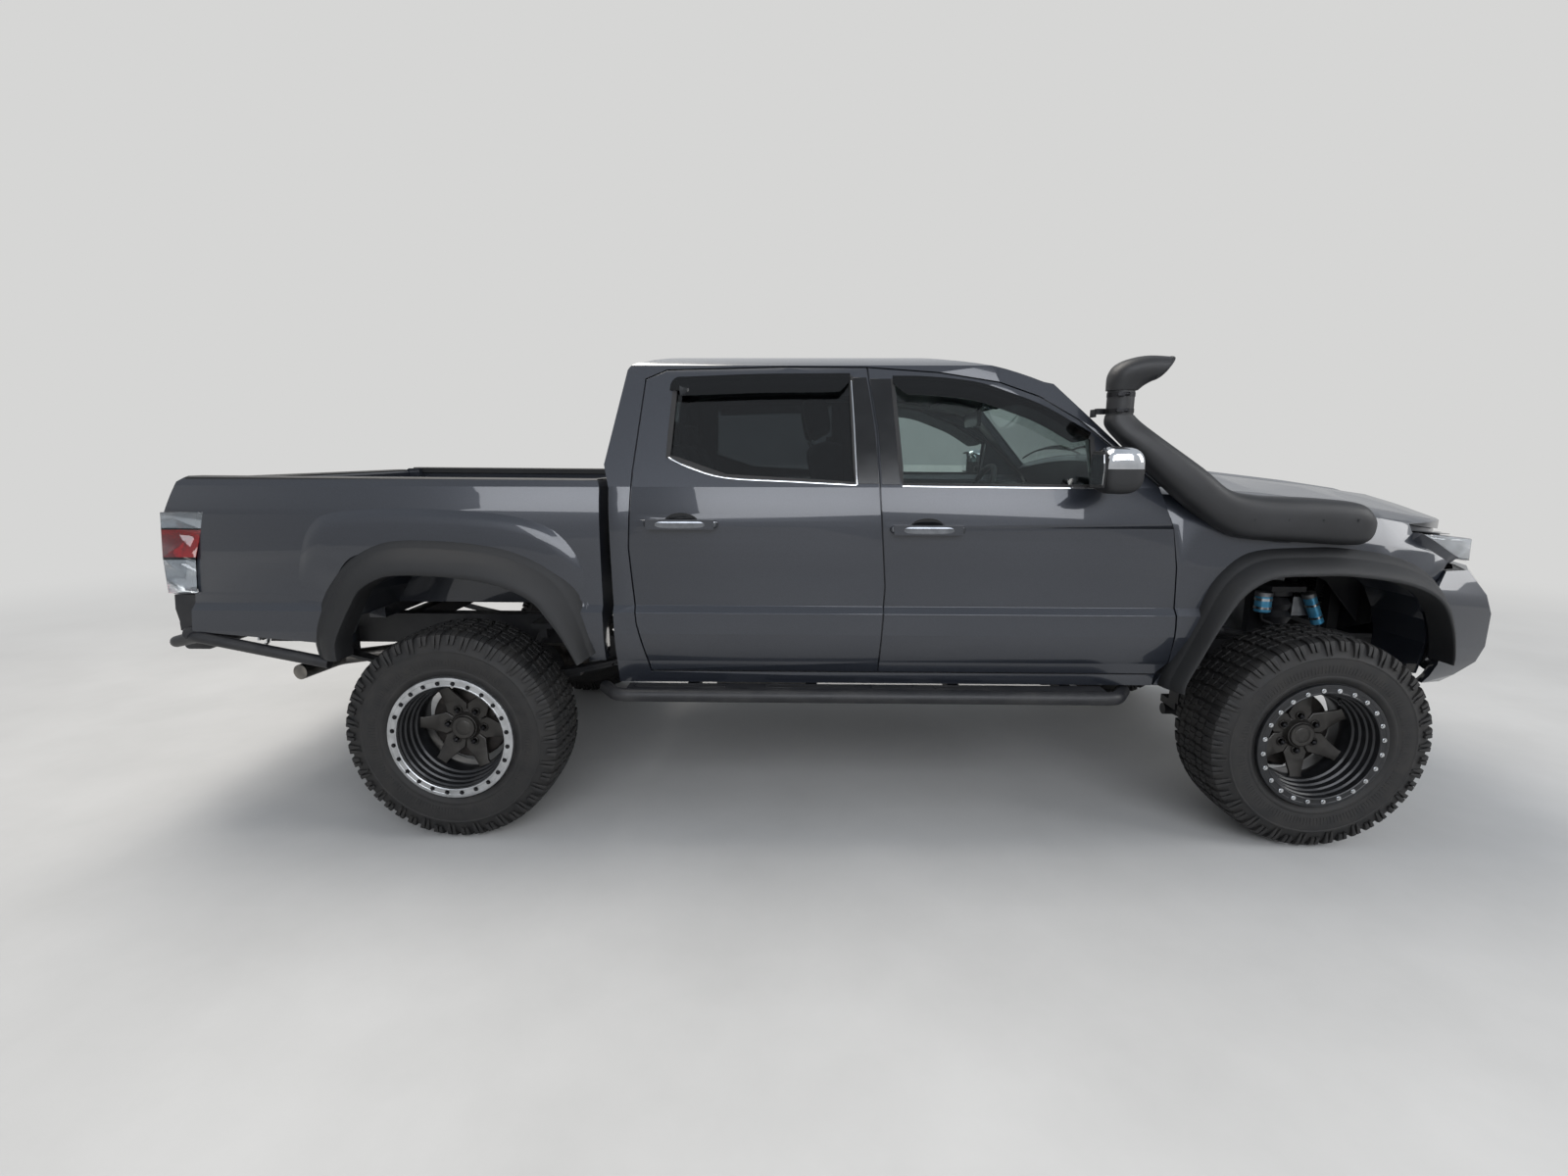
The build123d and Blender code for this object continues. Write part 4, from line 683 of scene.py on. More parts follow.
rimLook = {
    "ringBolts": 24, "boltCircle": 217.5, "boltRadius": 6.2, "notchCircle": 232.6,
    "spokes": 6, "nutCircle": 69.85, "turn": {"front": 30, "rear": -6},
    "nutCup": [(2, 13.5), (2, 18), (10, 17.4), (11.6, 15.6), (10.8, 13.5)],
    "spoke": [(40, -20, 5, 46), (62, -20, 5, 70), (80, -19, 6, 90), (98, -15, 9, 78),
              (120, -8, 14, 65), (142, 0, 20, 54), (160, 6, 25, 46), (171, 8, 27, 48)],
    "turned": [
        (96, 0, [(127, 210), (127, 203.4), (121, 202.6), (116, 197), (98, 195.6), (94, 189.5),
                 (74, 188), (69, 181.5), (50, 180), (45, 173.5), (22, 172), (14, 169), (-14, 169),
                 (-22, 173), (-84, 188), (-96, 196), (-112, 203), (-124, 205), (-131, 212),
                 (-132, 224), (-129, 227), (-126.4, 225), (-126.4, 213.6), (-100, 213.6),
                 (-90, 204), (-76, 199.6), (40, 199.6), (64, 204), (84, 210)]),
        (120, 1, [(126.7, 209), (126.7, 239.6), (139, 239.4), (142, 237.6), (143.2, 234),
                  (143.2, 226), (142.2, 224.6), (142.2, 210.6), (143.2, 209), (143.2, 206.4),
                  (141.4, 203.8), (138, 203), (128, 203)]),
        (64, 5, [(-26, 20), (-26, 74), (-6, 72), (2, 67), (6, 56), (7, 58), (12, 54), (26, 50),
                 (27, 47), (10, 46), (8, 20)]),
        (56, 5, [(8, 12), (8, 45.6), (30, 45.2), (33.4, 42.8), (34.2, 38.6), (33.4, 30),
                 (35, 27.6), (35.6, 12)])],
    "frontBrake": [
        (72, 4, [(-71.2, 92), (-71.2, 150), (-70.2, 152), (-65, 152), (-64, 150), (-64, 92)]),
        (72, 4, [(-57, 92), (-57, 150), (-56, 152), (-51, 152), (-50, 150), (-50, 92)]),
        (48, 4, [(-72, 60), (-72, 94), (-50, 94), (-48, 90), (-27, 88), (-24, 84), (-24, 60)]),
        (40, 4, [(-100.5, 20), (-100.5, 66), (-74, 66), (-70, 62), (-60, 20)])],
    "rearBrake": [
        (72, 4, [(-120, 60), (-120, 140), (-116, 149.4), (-112, 150), (-110, 146), (-104, 146),
                 (-102, 150), (-96, 150), (-94, 146), (-88, 146), (-86, 150), (-80, 150),
                 (-78, 146), (-72, 146), (-70, 150), (-40, 150), (-33, 146), (-30, 136),
                 (-30, 60)]),
        (40, 4, [(-121, 20), (-121, 66), (-24, 64), (-24, 20)])]}


# Materials: 0 barrel, 1 ring, 2 ring bolts, 3 wheel nuts, 4 brake iron, 5 star. The lathe rows
# are barrel, bead ring, hub and cap, then the brake's discs, hat and caliper ring or drum.
def buildRim(side, place):
    bm = bmesh.new()
    firstTurn = radians(rimLook["turn"][place])
    for steps, mat, rows in rimLook["turned"] + rimLook[place + "Brake"]:
        addLathe(bm, rows, steps, side=side, mat=mat)
    circle, notches = rimLook["boltCircle"], rimLook["notchCircle"]
    for turn in around(rimLook["ringBolts"], 0.5):
        addBolt(bm, (circle * cos(turn), side * 142.2, circle * sin(turn)), (0, side, 0),
                rimLook["boltRadius"], 6.5, 2)
        notch = turn + pi / rimLook["ringBolts"]
        a, b = ((notches * cos(notch), side * y, notches * sin(notch)) for y in (142.4, 143.6))
        addRod(bm, a, b, 2.2, 8, 1)
    addRod(bm, (0, side * 8, 0), (0, side * 35, 0), 12.6, 32, 5)
    for turn in around(rimLook["spokes"]):
        turn += firstTurn
        out = Vector((cos(turn), 0, sin(turn)))
        tangent = Vector((-sin(turn), 0, cos(turn)))
        rings = []
        for radius, low, high, wide in rimLook["spoke"]:
            half = wide / 2
            rings.append([(out * radius + tangent * u + Vector((0, side * v, 0))) * 0.001
                          for u, v in bothHalves([(-half + 5, low), (-half, high - 7),
                                                  (-half + 1.5, high - 1.5), (-half + 4, high)])])
        addRings(bm, rings, 5)
        nut = out * rimLook["nutCircle"]
        addLathe(bm, rimLook["nutCup"], 20, nut, side, 5)
        foot, shoulder, tip = (nut + Vector((0, side * y, 0)) for y in (2, 20, 24))
        addRod(bm, foot, shoulder, 10.6, 6, 3, 9.8)
        addRod(bm, shoulder, tip, 8.4, 12, 3, 4.5)
    valve = firstTurn + radians(30)
    foot, tip = (Vector((cos(valve) * reach, side * y, sin(valve) * reach))
                 for reach, y in ((183, 66), (164, 84)))
    addRod(bm, foot, foot.lerp(tip, 0.4), 6.5, 14, 1)
    addRod(bm, foot.lerp(tip, 0.35), tip, 4.2, 12, 2)
    if place == "front":
        for turn in around(40):
            bend = turn + 0.12
            a, b = (Vector((cos(t) * reach, side * -60.6, sin(t) * reach))
                    for t, reach in ((turn, 96), (bend, 148)))
            addRod(bm, a, b, 3.6, 6, 4)
    return bm


wheelSpots = {"x": {"front": 1777.5, "rear": -1457.5}, "y": 861.5, "z": 412}


def makeWheels():
    for place, x in wheelSpots["x"].items():
        ring, bolts = (wheelBlack, zincBright) if place == "front" else (ringSilver, blackOxide)
        for word, side in (("right", rightSide), ("left", leftSide)):
            corner = place + "_" + word
            tyre, rim = buildTyre(side), buildRim(side, place)
            for bm in (tyre, rim):
                bmesh.ops.translate(bm, verts=bm.verts,
                                    vec=mm(x, side * wheelSpots["y"], wheelSpots["z"]))
            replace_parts(finishPiece(tyre, "treadedTyre_" + corner, [rubber], "wheel_" + corner,
                                    angle=28), "tyre_" + corner)
            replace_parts(finishPiece(rim, "beadLockRim_" + corner,
                                    [wheelBlack, ring, bolts, blackOxide, castIron, starGraphite],
                                    "wheel_" + corner, angle=32), "rim_" + corner)


makeWheels()
print("scene: wheels made")

# Body side: where the painted skin lies at a height, and strips and plates that follow it
skinRows = [(600, 872), (690, 893), (800, 915), (880, 914), (906, 894), (1200, 890), (1345, 862),
            (1796, 680), (1838, 560)]


def skinY(z):
    for (lowZ, lowY), (highZ, highY) in zip(skinRows, skinRows[1:]):
        if z <= highZ:
            share = max(0, (z - lowZ) / (highZ - lowZ))
            belly = 4 * share * (1 - share) * (5 if highZ in (1345, 1200, 1796) else 0)
            return lowY + (highY - lowY) * share + belly
    return skinRows[-1][1]


# Strip along an (x, z) path on the right side, from low to high across the path and from inner to
# outer off the skin. Its section leans by rise.
def addSkinStrip(bm, path, low, high, inner, outer, mat=0, closed=False, rise=0.0):
    rings = []
    spots = [Vector((x, z)) for x, z in path]
    for i, spot in enumerate(spots):
        if closed:
            ahead = spots[(i + 1) % len(spots)] - spots[i - 1]
        else:
            ahead = spots[min(i + 1, len(spots) - 1)] - spots[max(i - 1, 0)]
        ahead.normalize()
        up = Vector((-ahead.y, ahead.x))
        ring = []
        for across, off in ((low, inner + rise), (low, outer + rise), ((low + high) / 2, outer
                            + rise * 0.6 + abs(high - low) * 0.03), (high, outer), (high, inner)):
            at = spot + up * across
            ring.append(mm(at.x, -skinY(at.y) - off, at.y))
        rings.append(ring)
    return addRings(bm, rings, mat, closed=closed, capped=not closed)


# Plate over the right side's skin from rows of (z, x low, x high).
def addSkinPlate(bm, rows, inner, outer, mat=0):
    rings = []
    for z, low, high in rows:
        y = -skinY(z)
        rings.append([Vector(p) * 0.001 for p in (
            (low, y - inner, z), (low, y - outer, z), (high, y - outer, z), (high, y - inner, z))])
    return addRings(bm, rings, mat)


def superRing(middle, up, out, count=24, power=0.72):
    ring = []
    for angle in around(count, 0.5):
        ring.append(middle + up * softened(sin(angle), power)
                    + out * softened(cos(angle), power))
    return ring


def stationRings(stations, scale=1.0, count=24, power=0.72, steps=4):
    rings = []
    for low0, low1, high0, high1, outer, inner in smoothTable(stations, steps):
        middle = mm((low0 + high0) / 2, (outer + inner) / 2, (low1 + high1) / 2)
        up = mm((high0 - low0) / 2, 0, (high1 - low1) / 2) * scale
        out = mm(0, (outer - inner) / 2, 0) * scale
        rings.append(superRing(middle, up, out, count, power))
    return rings


# Rows of numbers with smooth rows between them.
def smoothTable(rows, steps):
    table = []
    for i in range(len(rows) - 1):
        before, here, there, after = (rows[max(i - 1, 0)], rows[i], rows[i + 1],
                                      rows[min(i + 2, len(rows) - 1)])
        for k in range(steps):
            t = k / steps
            table.append([0.5 * (2 * b + (c - a) * t + (2 * a - 5 * b + 4 * c - d) * t ** 2
                                 + (3 * b - a - 3 * c + d) * t ** 3)
                          for a, b, c, d in zip(before, here, there, after)])
    table.append(list(rows[-1]))
    return table


snorkelLook = {
    "body": [(950, 1604, 1040, 1604, -896, -806), (954, 1562, 1070, 1576, -906, -804),
             (1024, 1488, 1140, 1522, -928, -806), (1170, 1348, 1285, 1420, -950, -808),
             (1296, 1246, 1379, 1347, -957, -812), (1403, 1182, 1470, 1326, -958, -814),
             (1509, 1162, 1556, 1320, -958, -814), (1683, 1153, 1705, 1314, -958, -814),
             (1830, 1145, 1846, 1298, -956, -814), (1886, 1152, 1896, 1266, -942, -816),
             (1912, 1182, 1919, 1232, -918, -826)],
    "head": [(945, 1690, 1047, 1690, -900, -802), (949, 1748, 1062, 1703, -910, -792),
             (983, 1787, 1074, 1711, -918, -782), (1060, 1808, 1086, 1718, -924, -776),
             (1154, 1805, 1096, 1723, -924, -776)]}


def buildSnorkel():
    bm = bmesh.new()
    addRings(bm, stationRings(snorkelLook["body"], steps=6, count=32))
    addTurned(bm, (995, -851, 1600), (0, 0, 1), [(0, 30), (0, 45.8), (92, 45.8), (92, 30)], 40)
    outer = stationRings(snorkelLook["head"], steps=6, count=32, power=0.8)
    inner = stationRings(snorkelLook["head"][2:], scale=0.93, steps=6, count=32, power=0.8)
    addRings(bm, outer + inner[::-1], 0)
    lip = stationRings([snorkelLook["head"][-1]] * 2, scale=1.02, steps=1, count=32, power=0.8)
    lipIn = stationRings([snorkelLook["head"][-1]] * 2, scale=0.95, steps=1, count=32, power=0.8)
    shift = Vector((-0.004, 0, 0.001))
    addRings(bm, [[p + shift for p in lip[0]], lip[0], lipIn[0], [p + shift for p in lipIn[0]]], 0,
             closed=True, capped=False)
    for step in range(5):
        share = (step + 1) / 6
        low = Vector((1096, 0, 1723)).lerp(Vector((1154, 0, 1805)), share)
        addRod(bm, (low.x - 12, -914, low.z), (low.x - 12, -786, low.z), 2.4, 8, 0)
    for step in range(7):
        y = -908 + step * 19
        addRod(bm, (1088, y, 1726), (1140, y, 1800), 2.0, 8, 0)
    for z in (1675, 1619):
        addTurned(bm, (995, -851, z - 7), (0, 0, 1),
                  [(0, 45.8), (0, 47.4), (14, 47.4), (14, 45.8)], 40, 1)
        addRod(bm, (960, -903, z), (1000, -903, z), 4.2, 10, 1)
        addBolt(bm, (1000, -903, z), (1, 0, 0), 4.2, 5, 1)
        addBlock(bm, 962, 986, -907, -897, z - 6, z + 6, 1)
    addBlock(bm, 930, 966, -812, -790, 1610, 1630, 2)
    addBlock(bm, 926, 934, -800, -760, 1600, 1628, 2)
    for x in (1460, 1580, 1700, 1820):
        addRod(bm, (x, -954, 1240), (x, -959.5, 1240), 5.0, 16, 0)
    return bm


def makeSnorkel():
    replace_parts(finishPiece(buildSnorkel(), "snorkelTube", [snorkelPlastic, blackOxide, powder],
                            "body", angle=40), "snorkel")


# Door mirrors: bright cap over a black housing, glass to the rear. Rows: y, then x and z from
# low to high. The cap starts at capFrom, x and z in metres.
mirrorLook = {
    "shell": [(-926, 930, 988, 1352, 1440), (-934, 896, 1004, 1342, 1474),
              (-948, 879, 1015, 1335, 1488), (-985, 874, 1019, 1332, 1493),
              (-1030, 875, 1017, 1333, 1492), (-1056, 880, 1008, 1339, 1484),
              (-1068, 890, 994, 1350, 1470), (-1073, 906, 975, 1370, 1448)],
    "arm": [(-862, 902, 992, 1352, 1396), (-896, 906, 984, 1351, 1392),
            (-930, 914, 976, 1353, 1398), (-952, 916, 972, 1356, 1402)],
    "capFrom": (0.884, 1.418)}


def splitLevel(bm, z):
    bmesh.ops.bisect_plane(bm, geom=bm.verts[:] + bm.edges[:] + bm.faces[:],
                           plane_co=(0, 0, z), plane_no=(0, 0, 1))


def buildMirror():
    bm = bmesh.new()
    rings = []
    for y, x0, x1, z0, z1 in smoothTable(mirrorLook["shell"], 3):
        middle = mm((x0 + x1) / 2, y, (z0 + z1) / 2)
        rings.append([middle + mm(
            softened(cos(turn), 0.42 if cos(turn) < 0 else 0.8) * (x1 - x0) / 2, 0,
            softened(sin(turn), 0.62) * (z1 - z0) / 2) for turn in around(28)])
    addRings(bm, rings)
    capX, capZ = mirrorLook["capFrom"]
    splitLevel(bm, capZ)
    for face in bm.faces:
        middle = face.calc_center_median()
        if middle.z > capZ and middle.x > capX:
            face.material_index = 1
    for push, mat in ((0.0, 0), (1.4, 2)):
        rows = [(-944, 1352 + push * 8), (-1052, 1356 + push * 6), (-1058, 1420),
                (-1048, 1474 - push * 6), (-950, 1478 - push * 8), (-940, 1420)]
        addPrism(bm, rows, "X", 872.6 - push, 880, mat)
    arm = []
    for y, x0, x1, z0, z1 in mirrorLook["arm"]:
        middle = mm((x0 + x1) / 2, y, (z0 + z1) / 2)
        arm.append(superRing(middle, mm(0, 0, (z1 - z0) / 2),
                             mm((x1 - x0) / 2, 0, 0), 20, 0.7))
    addRings(bm, arm)
    return bm


def makeMirrors():
    pieces = bothSides(buildMirror, "doorMirror", [arch, chrome, mirrorGlass],
                       ("door_front_right", "door_front_left"), angle=42)
    for piece, node in zip(pieces, ("mirror_right", "mirror_left")):
        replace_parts(piece, node)


# Door furniture: middle of the handle, outline of the window, paths of the visor, the belt strip
# and the upright strip, all x, z. Rows of the pillar plate are z, x low, x high.
doorLook = {
    "rear": {"handle": (-586, 1212),
             "window": [(-640, 1455), (-622, 1733), (-300, 1748), (41, 1752), (58, 1356),
                        (-424, 1382)],
             "visor": [(-628, 1700), (-618, 1733), (-560, 1738), (-300, 1748), (-100, 1750),
                       (38, 1751)],
             "belt": [(58, 1353), (-180, 1365), (-424, 1378), (-560, 1415), (-640, 1452)],
             "upright": [(60, 1354), (56, 1450), (52, 1550), (47, 1650), (42, 1738)],
             "pillar": [(1358, 64, 140), (1450, 60, 136), (1549, 54, 129), (1660, 49, 114),
                        (1750, 46, 100)]},
    "front": {"handle": (318, 1195),
              "window": [(226, 1352), (197, 1742), (360, 1738), (529, 1714), (745, 1634),
                         (928, 1524), (928, 1348)],
              "visor": [(199, 1741), (300, 1740), (420, 1731), (529, 1714), (640, 1676),
                        (745, 1634), (840, 1580), (918, 1532)],
              "belt": [(926, 1345), (700, 1346), (450, 1348), (226, 1350)],
              "pillar": [(1356, 151, 218), (1450, 147, 211), (1549, 142, 204), (1660, 127, 196),
                         (1745, 112, 191)]}}


def buildHandle(place):
    bm = bmesh.new()
    x, z = doorLook[place]["handle"]
    rings = []
    for u, half, outer, inner in smoothTable([
            (-138, 4, 900, 894), (-132, 12, 910, 893), (-112, 17.5, 925, 900),
            (-60, 18.5, 930, 903), (0, 18.5, 931, 904), (60, 18.5, 930, 903),
            (112, 17.5, 925, 900), (132, 12, 910, 893), (138, 4, 900, 894)], 3):
        middle = mm(x + u, -(outer + inner) / 2, z)
        rings.append(superRing(middle, mm(0, 0, half),
                               mm(0, -(outer - inner) / 2, 0), 20, 0.75))
    addRings(bm, rings)
    cup = []
    for turn in around(36):
        across, rise = cos(turn), sin(turn)
        cup.append([mm(x + across * rx, -skinY(z) - off, z + rise * rz)
                    for rx, rz, off in ((66, 40, -2), (66, 40, 0.5), (61, 35.5, 1.0),
                                        (55, 30, -0.4), (20, 12, -1.2))])
    addRings(bm, cup, 1, closed=True, capped=False)
    for u in (-102, 102):
        addRod(bm, (x + u, -886, z), (x + u, -908, z), 12, 16, 0)
    return bm


def buildVisor(place):
    bm = bmesh.new()
    path = smoothPath([(x, z, 0) for x, z in doorLook[place]["visor"]], 5)
    rings = []
    count = len(path) - 1
    for i, spot in enumerate(path):
        share = i / count
        here = Vector(spot[:2])
        ahead = Vector(path[min(i + 1, count)][:2]) - Vector(path[max(i - 1, 0)][:2])
        ahead.normalize()
        down = Vector((ahead.y, -ahead.x))
        ends = min(share, 1 - share) * 12
        wide = 58 * min(1, 0.2 + ends * 0.8)
        bow = 14 * min(1, 0.15 + ends * 0.85)
        section = ((-16, 0.6), (-4, 1.6), (wide * 0.35, bow * 0.62), (wide * 0.75, bow),
                   (wide, bow + 1.5), (wide, bow - 1.2), (wide * 0.7, bow - 2.8),
                   (wide * 0.3, bow * 0.5 - 2.0), (-4, -1.4), (-16, -1.4))
        rings.append([mm(here.x + down.x * d, -skinY(here.y + down.y * d) - off,
                         here.y + down.y * d) for d, off in section])
    addRings(bm, rings)
    return bm


# Materials: 0 bright belt strip, 1 black pillar plate, 2 rubber seal, 3 inside card.
def buildTrim(place):
    bm = bmesh.new()
    look = doorLook[place]
    path = smoothPath([(x, z, 0) for x, z in look["belt"]], 4)
    addSkinStrip(bm, [p[:2] for p in path], -3, 2, -2, 2.2, 0)
    if "upright" in look:
        addSkinStrip(bm, look["upright"], -2.5, 2.5, -2, 2.2, 0)
    addSkinPlate(bm, look["pillar"], -0.5, 1.4, 1)
    seal = []
    window = look["window"]
    for i, (x, z) in enumerate(window):
        nx, nz = window[(i + 1) % len(window)]
        for k in range(6):
            seal.append((x + (nx - x) * k / 6, z + (nz - z) * k / 6))
    addSkinStrip(bm, seal, -9, 9, -15, 1.0 - 2.2, 2, closed=True)
    return bm


def makeDoorTrim():
    for place in ("front", "rear"):
        bodies = ("door_" + place + "_right", "door_" + place + "_left")
        bothSides(lambda: buildHandle(place), "pullHandle_" + place, [smokedChrome, smoothBlack],
                  bodies, angle=40)
        bothSides(lambda: buildVisor(place), "windowVisor_" + place, [smoked], bodies, angle=40)
        bothSides(lambda: buildTrim(place), "doorTrim_" + place,
                  [chrome, smoothBlack, sealRubberAndSlotShade, trimSoft], bodies, angle=30, bevel=0.8,
                  segments=1)


# Lamps: each lens is a hollow shell over the CAD lamp's own outline, with parts inside
def copyNode(name, keep=None):
    bm = bmesh.new()
    bm.from_mesh(nodes[name].data)
    bmesh.ops.remove_doubles(bm, verts=bm.verts, dist=0.00005)
    bmesh.ops.recalc_face_normals(bm, faces=bm.faces)
    if keep:
        gone = [face for face in bm.faces if not keep(face)]
        bmesh.ops.delete(bm, geom=gone, context="FACES")
    return bm


def surfaceOf(name):
    source = copyNode(name)
    tree = BVHTree.FromBMesh(source)
    source.free()
    return tree


def shellPiece(bm, name, materials, thick, angle=35):
    piece = finishPiece(bm, name, materials, "body", angle=angle)
    wall = piece.modifiers.new("wall", "SOLIDIFY")
    wall.thickness = thick * 0.001
    wall.offset = -1
    return piece


tailLampLook = {
    "levels": (1.188, 1.080, 1.070, 1.182, 1.012), "red": (1.080, 1.182),
    "bands": (1.070, 1.188), "bulbs": ((1212, 1), (1130, 2), (1046, 1), (982, 1)),
    "bulbY": -836, "cup": ((2, 34), (26, 30), (22, 24), (6, 10), (2, 4))}


def makeTailLamps():
    def outward(face):
        return abs(face.normal.y) > 0.3 and face.calc_center_median().y * face.normal.y > 0 \
            or face.normal.x < -0.3

    bm = copyNode("tail_lamps", outward)
    for cut in tailLampLook["levels"]:
        splitLevel(bm, cut)
    redLow, redHigh = tailLampLook["red"]
    bandLow, bandHigh = tailLampLook["bands"]
    for face in bm.faces:
        z = face.calc_center_median().z
        face.material_index = 1 if redLow < z < redHigh else 2 if bandLow < z < bandHigh else 0
    lens = shellPiece(bm, "tailLampLens", [smokeLens, redLens, smoothBlack], 3)
    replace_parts(lens, "tail_lamps")

    def build():
        inner = bmesh.new()
        addBlock(inner, -2470, -2452, -872, -786, 952, 1236, 0)
        y = tailLampLook["bulbY"]
        for z, mat in tailLampLook["bulbs"]:
            addRings(inner, [[mm(-2470 - depth, y + cos(turn) * radius,
                                 z + sin(turn) * min(radius, 30) * 0.9)
                              for depth, radius in tailLampLook["cup"]] for turn in around(28)],
                     mat, closed=True, capped=False)
            addRod(inner, (-2472, y, z), (-2490, y, z), 6, 14, 3)
        for step in range(9):
            z = 1090 + step * 10
            addBlock(inner, -2500, -2470, -884, -800, z, z + 3, 2)
        return inner

    bothSides(build, "tailLampInside", [smoothBlack, smokedChrome, redLens, clearLens],
              angle=40, bevel=0.6, segments=1)


headlampLook = {
    "bowls": ((2330, -690, 1122, 27), (2395, -600, 1116, 26)),  # x, y, z, radius
    "out": (0.86, -0.51, 0), "across": (0.51, 0.86, 0),
    "strip": [(2190, -792, 1090), (2290, -760, 1086), (2380, -676, 1078), (2440, -560, 1074)]}


def makeHeadlamps():
    def outward(face):
        side = face.normal.y
        return face.normal.x > 0.2 or (abs(side) > 0.3
                                       and side * face.calc_center_median().y > 0.0004)

    lens = shellPiece(copyNode("headlamps", outward), "headlampLens", [clearLens], 3)
    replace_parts(lens, "headlamps")

    shellPiece(copyNode("headlamps", lambda face: not outward(face)), "headlampHousing",
               [smokedChrome], 2, angle=30)

    def build():
        inner = bmesh.new()
        out = Vector(headlampLook["out"]).normalized()
        across = Vector(headlampLook["across"]).normalized()
        for x, y, z, radius in headlampLook["bowls"]:
            middle = Vector((x, y, z))
            cup = []
            for turn in around(36):
                ray = across * cos(turn) + Vector((0, 0, 1)) * sin(turn)
                cup.append([(middle + ray * r + out * d) * 0.001
                            for d, r in ((-30, radius * 0.5), (0, radius), (4, radius + 1),
                                         (4, radius - 3), (-4, radius - 5), (-28, 8))])
            addRings(inner, cup, 0, closed=True, capped=False)
            addRod(inner, middle - out * 26, middle - out * 2, radius - 6, 28, 1, radius - 9)
        addTube(inner, smoothPath(headlampLook["strip"], 6), 5, 10, 1)
        return inner

    bothSides(build, "headlampInside", [chrome, clearLens, smoothBlack], angle=40)


# Pressed bulge over each rear arch. Rows: outer edge x, z; edge under the flare x, z
bulgeLook = {
    "rows": [(-2052, 860, -1960, 850), (-2040, 960, -1915, 930), (-2018, 1080, -1880, 1010),
             (-1976, 1190, -1820, 1080), (-1890, 1248, -1744, 1105), (-1650, 1264, -1652, 1112),
             (-1468, 1260, -1471, 1106), (-1288, 1248, -1290, 1094), (-1144, 1222, -1160, 1060),
             (-1040, 1170, -1090, 1005), (-968, 1070, -1045, 930), (-944, 960, -1000, 850),
             (-940, 860, -960, 790)],
    "fade": (950, 1180),
    "rise": [(0.0, 0.2), (0.05, 3.5), (0.12, 10), (0.22, 15.5), (0.36, 18), (0.7, 19), (1.0, 19)]}


def buildBulge():
    bm = bmesh.new()
    rings = []
    for outX, outZ, inX, inZ in smoothTable(bulgeLook["rows"], 4):
        spots = [(outX + (inX - outX) * share, outZ + (inZ - outZ) * share, off)
                 for share, off in bulgeLook["rise"]]
        low, high = bulgeLook["fade"]
        share = smoothStep((outZ - low) / (high - low))
        spots = [(x, z, off * share - 0.4 - 1.6 * (1 - share)) for x, z, off in spots]
        spots = spots + [(x, z, -3.5) for x, z, off in spots[::-1]]
        rings.append([mm(x, -skinY(z) - off, z) for x, z, off in spots])
    addRings(bm, rings)
    return bm


# Pressed double bulge along the hood. Plan rows: x, half width. Heights follow the CAD hood.
hoodLook = {"plan": [(1452, 332), (1700, 322), (1950, 306), (2200, 262), (2330, 222), (2392, 150),
                     (2412, 70)],
            "steps": ((1.0, 8), (0.92, 8)), "edge": 0.05, "columns": 56}


def buildHoodBulge():
    tree = surfaceOf("hood")
    bm = bmesh.new()
    plan = smoothTable(hoodLook["plan"], 6)
    first, last = plan[0][0], plan[-1][0]
    columns = hoodLook["columns"]
    rings = []
    for x, half in plan:
        lengthwise = min((x - first) / 60, (last - x) / 60)
        top, under = [], []
        for count in range(columns + 1):
            across = 2 * count / columns - 1
            y = across * half
            hit = tree.ray_cast(mm(x, y, 3000), Vector((0, 0, -1)))[0]
            rise = sum(high * smoothStep((reach - abs(across)) / hoodLook["edge"])
                       for reach, high in hoodLook["steps"])
            rise *= smoothStep(lengthwise)
            top.append(hit + mm(0, 0, 0.2 + rise))
            under.append(hit - mm(0, 0, 1.5))
        rings.append(top + under[::-1])
    addRings(bm, rings)
    return bm


# Arch flares. Path rows: x, z of the opening, and how wide the flare is there. Section rows: out
# from the opening, and how far from the middle of the car. Its lip turns in to a thin wall.
flareLook = {
    "front": [(1263, 604, 0.46), (1266, 640, 0.48), (1311, 739, 0.5), (1363, 850, 0.56),
              (1427, 959, 0.84), (1494, 1016, 1.0), (1560, 1038, 1.0), (1680, 1043, 1.0),
              (1800, 1043, 1.0), (1968, 1021, 1.0), (2077, 985, 0.96), (2140, 935, 0.85),
              (2180, 855, 0.68), (2202, 764, 0.5), (2204, 722, 0.44)],
    "rear": [(-1861, 706, 1.5), (-1860, 772, 1.6), (-1826, 847, 1.66), (-1790, 911, 1.66),
             (-1749, 972, 1.64), (-1680, 1014, 1.6), (-1606, 1028, 1.58), (-1461, 1025, 1.58),
             (-1318, 1009, 1.6), (-1211, 980, 1.6), (-1124, 933, 1.55), (-1073, 871, 1.4),
             (-1023, 797, 1.05), (-970, 696, 0.66)],
    "section": [(92, 826), (92, 880), (90, 888), (84, 900), (66, 928), (62, 930), (58, 937),
                (40, 965), (26, 981), (14, 989.5), (6, 991.5), (1.5, 989.5), (0, 984), (0, 950),
                (0, 884), (5, 884), (5, 948), (6, 978), (14, 983), (24, 975), (38, 957),
                (60, 926), (80, 892), (86, 878), (86, 826)]}


def buildFlare(place):
    bm = bmesh.new()
    path = smoothTable(flareLook[place], 5)
    rings = []
    for count, (x, z, wide) in enumerate(path):
        before, after = path[max(count - 1, 0)], path[min(count + 1, len(path) - 1)]
        ahead = Vector((after[0] - before[0], after[1] - before[1])).normalized()
        rings.append([mm(x - ahead.y * out * wide, -y, z + ahead.x * out * wide)
                      for out, y in flareLook["section"]])
    addRings(bm, rings)
    return bm


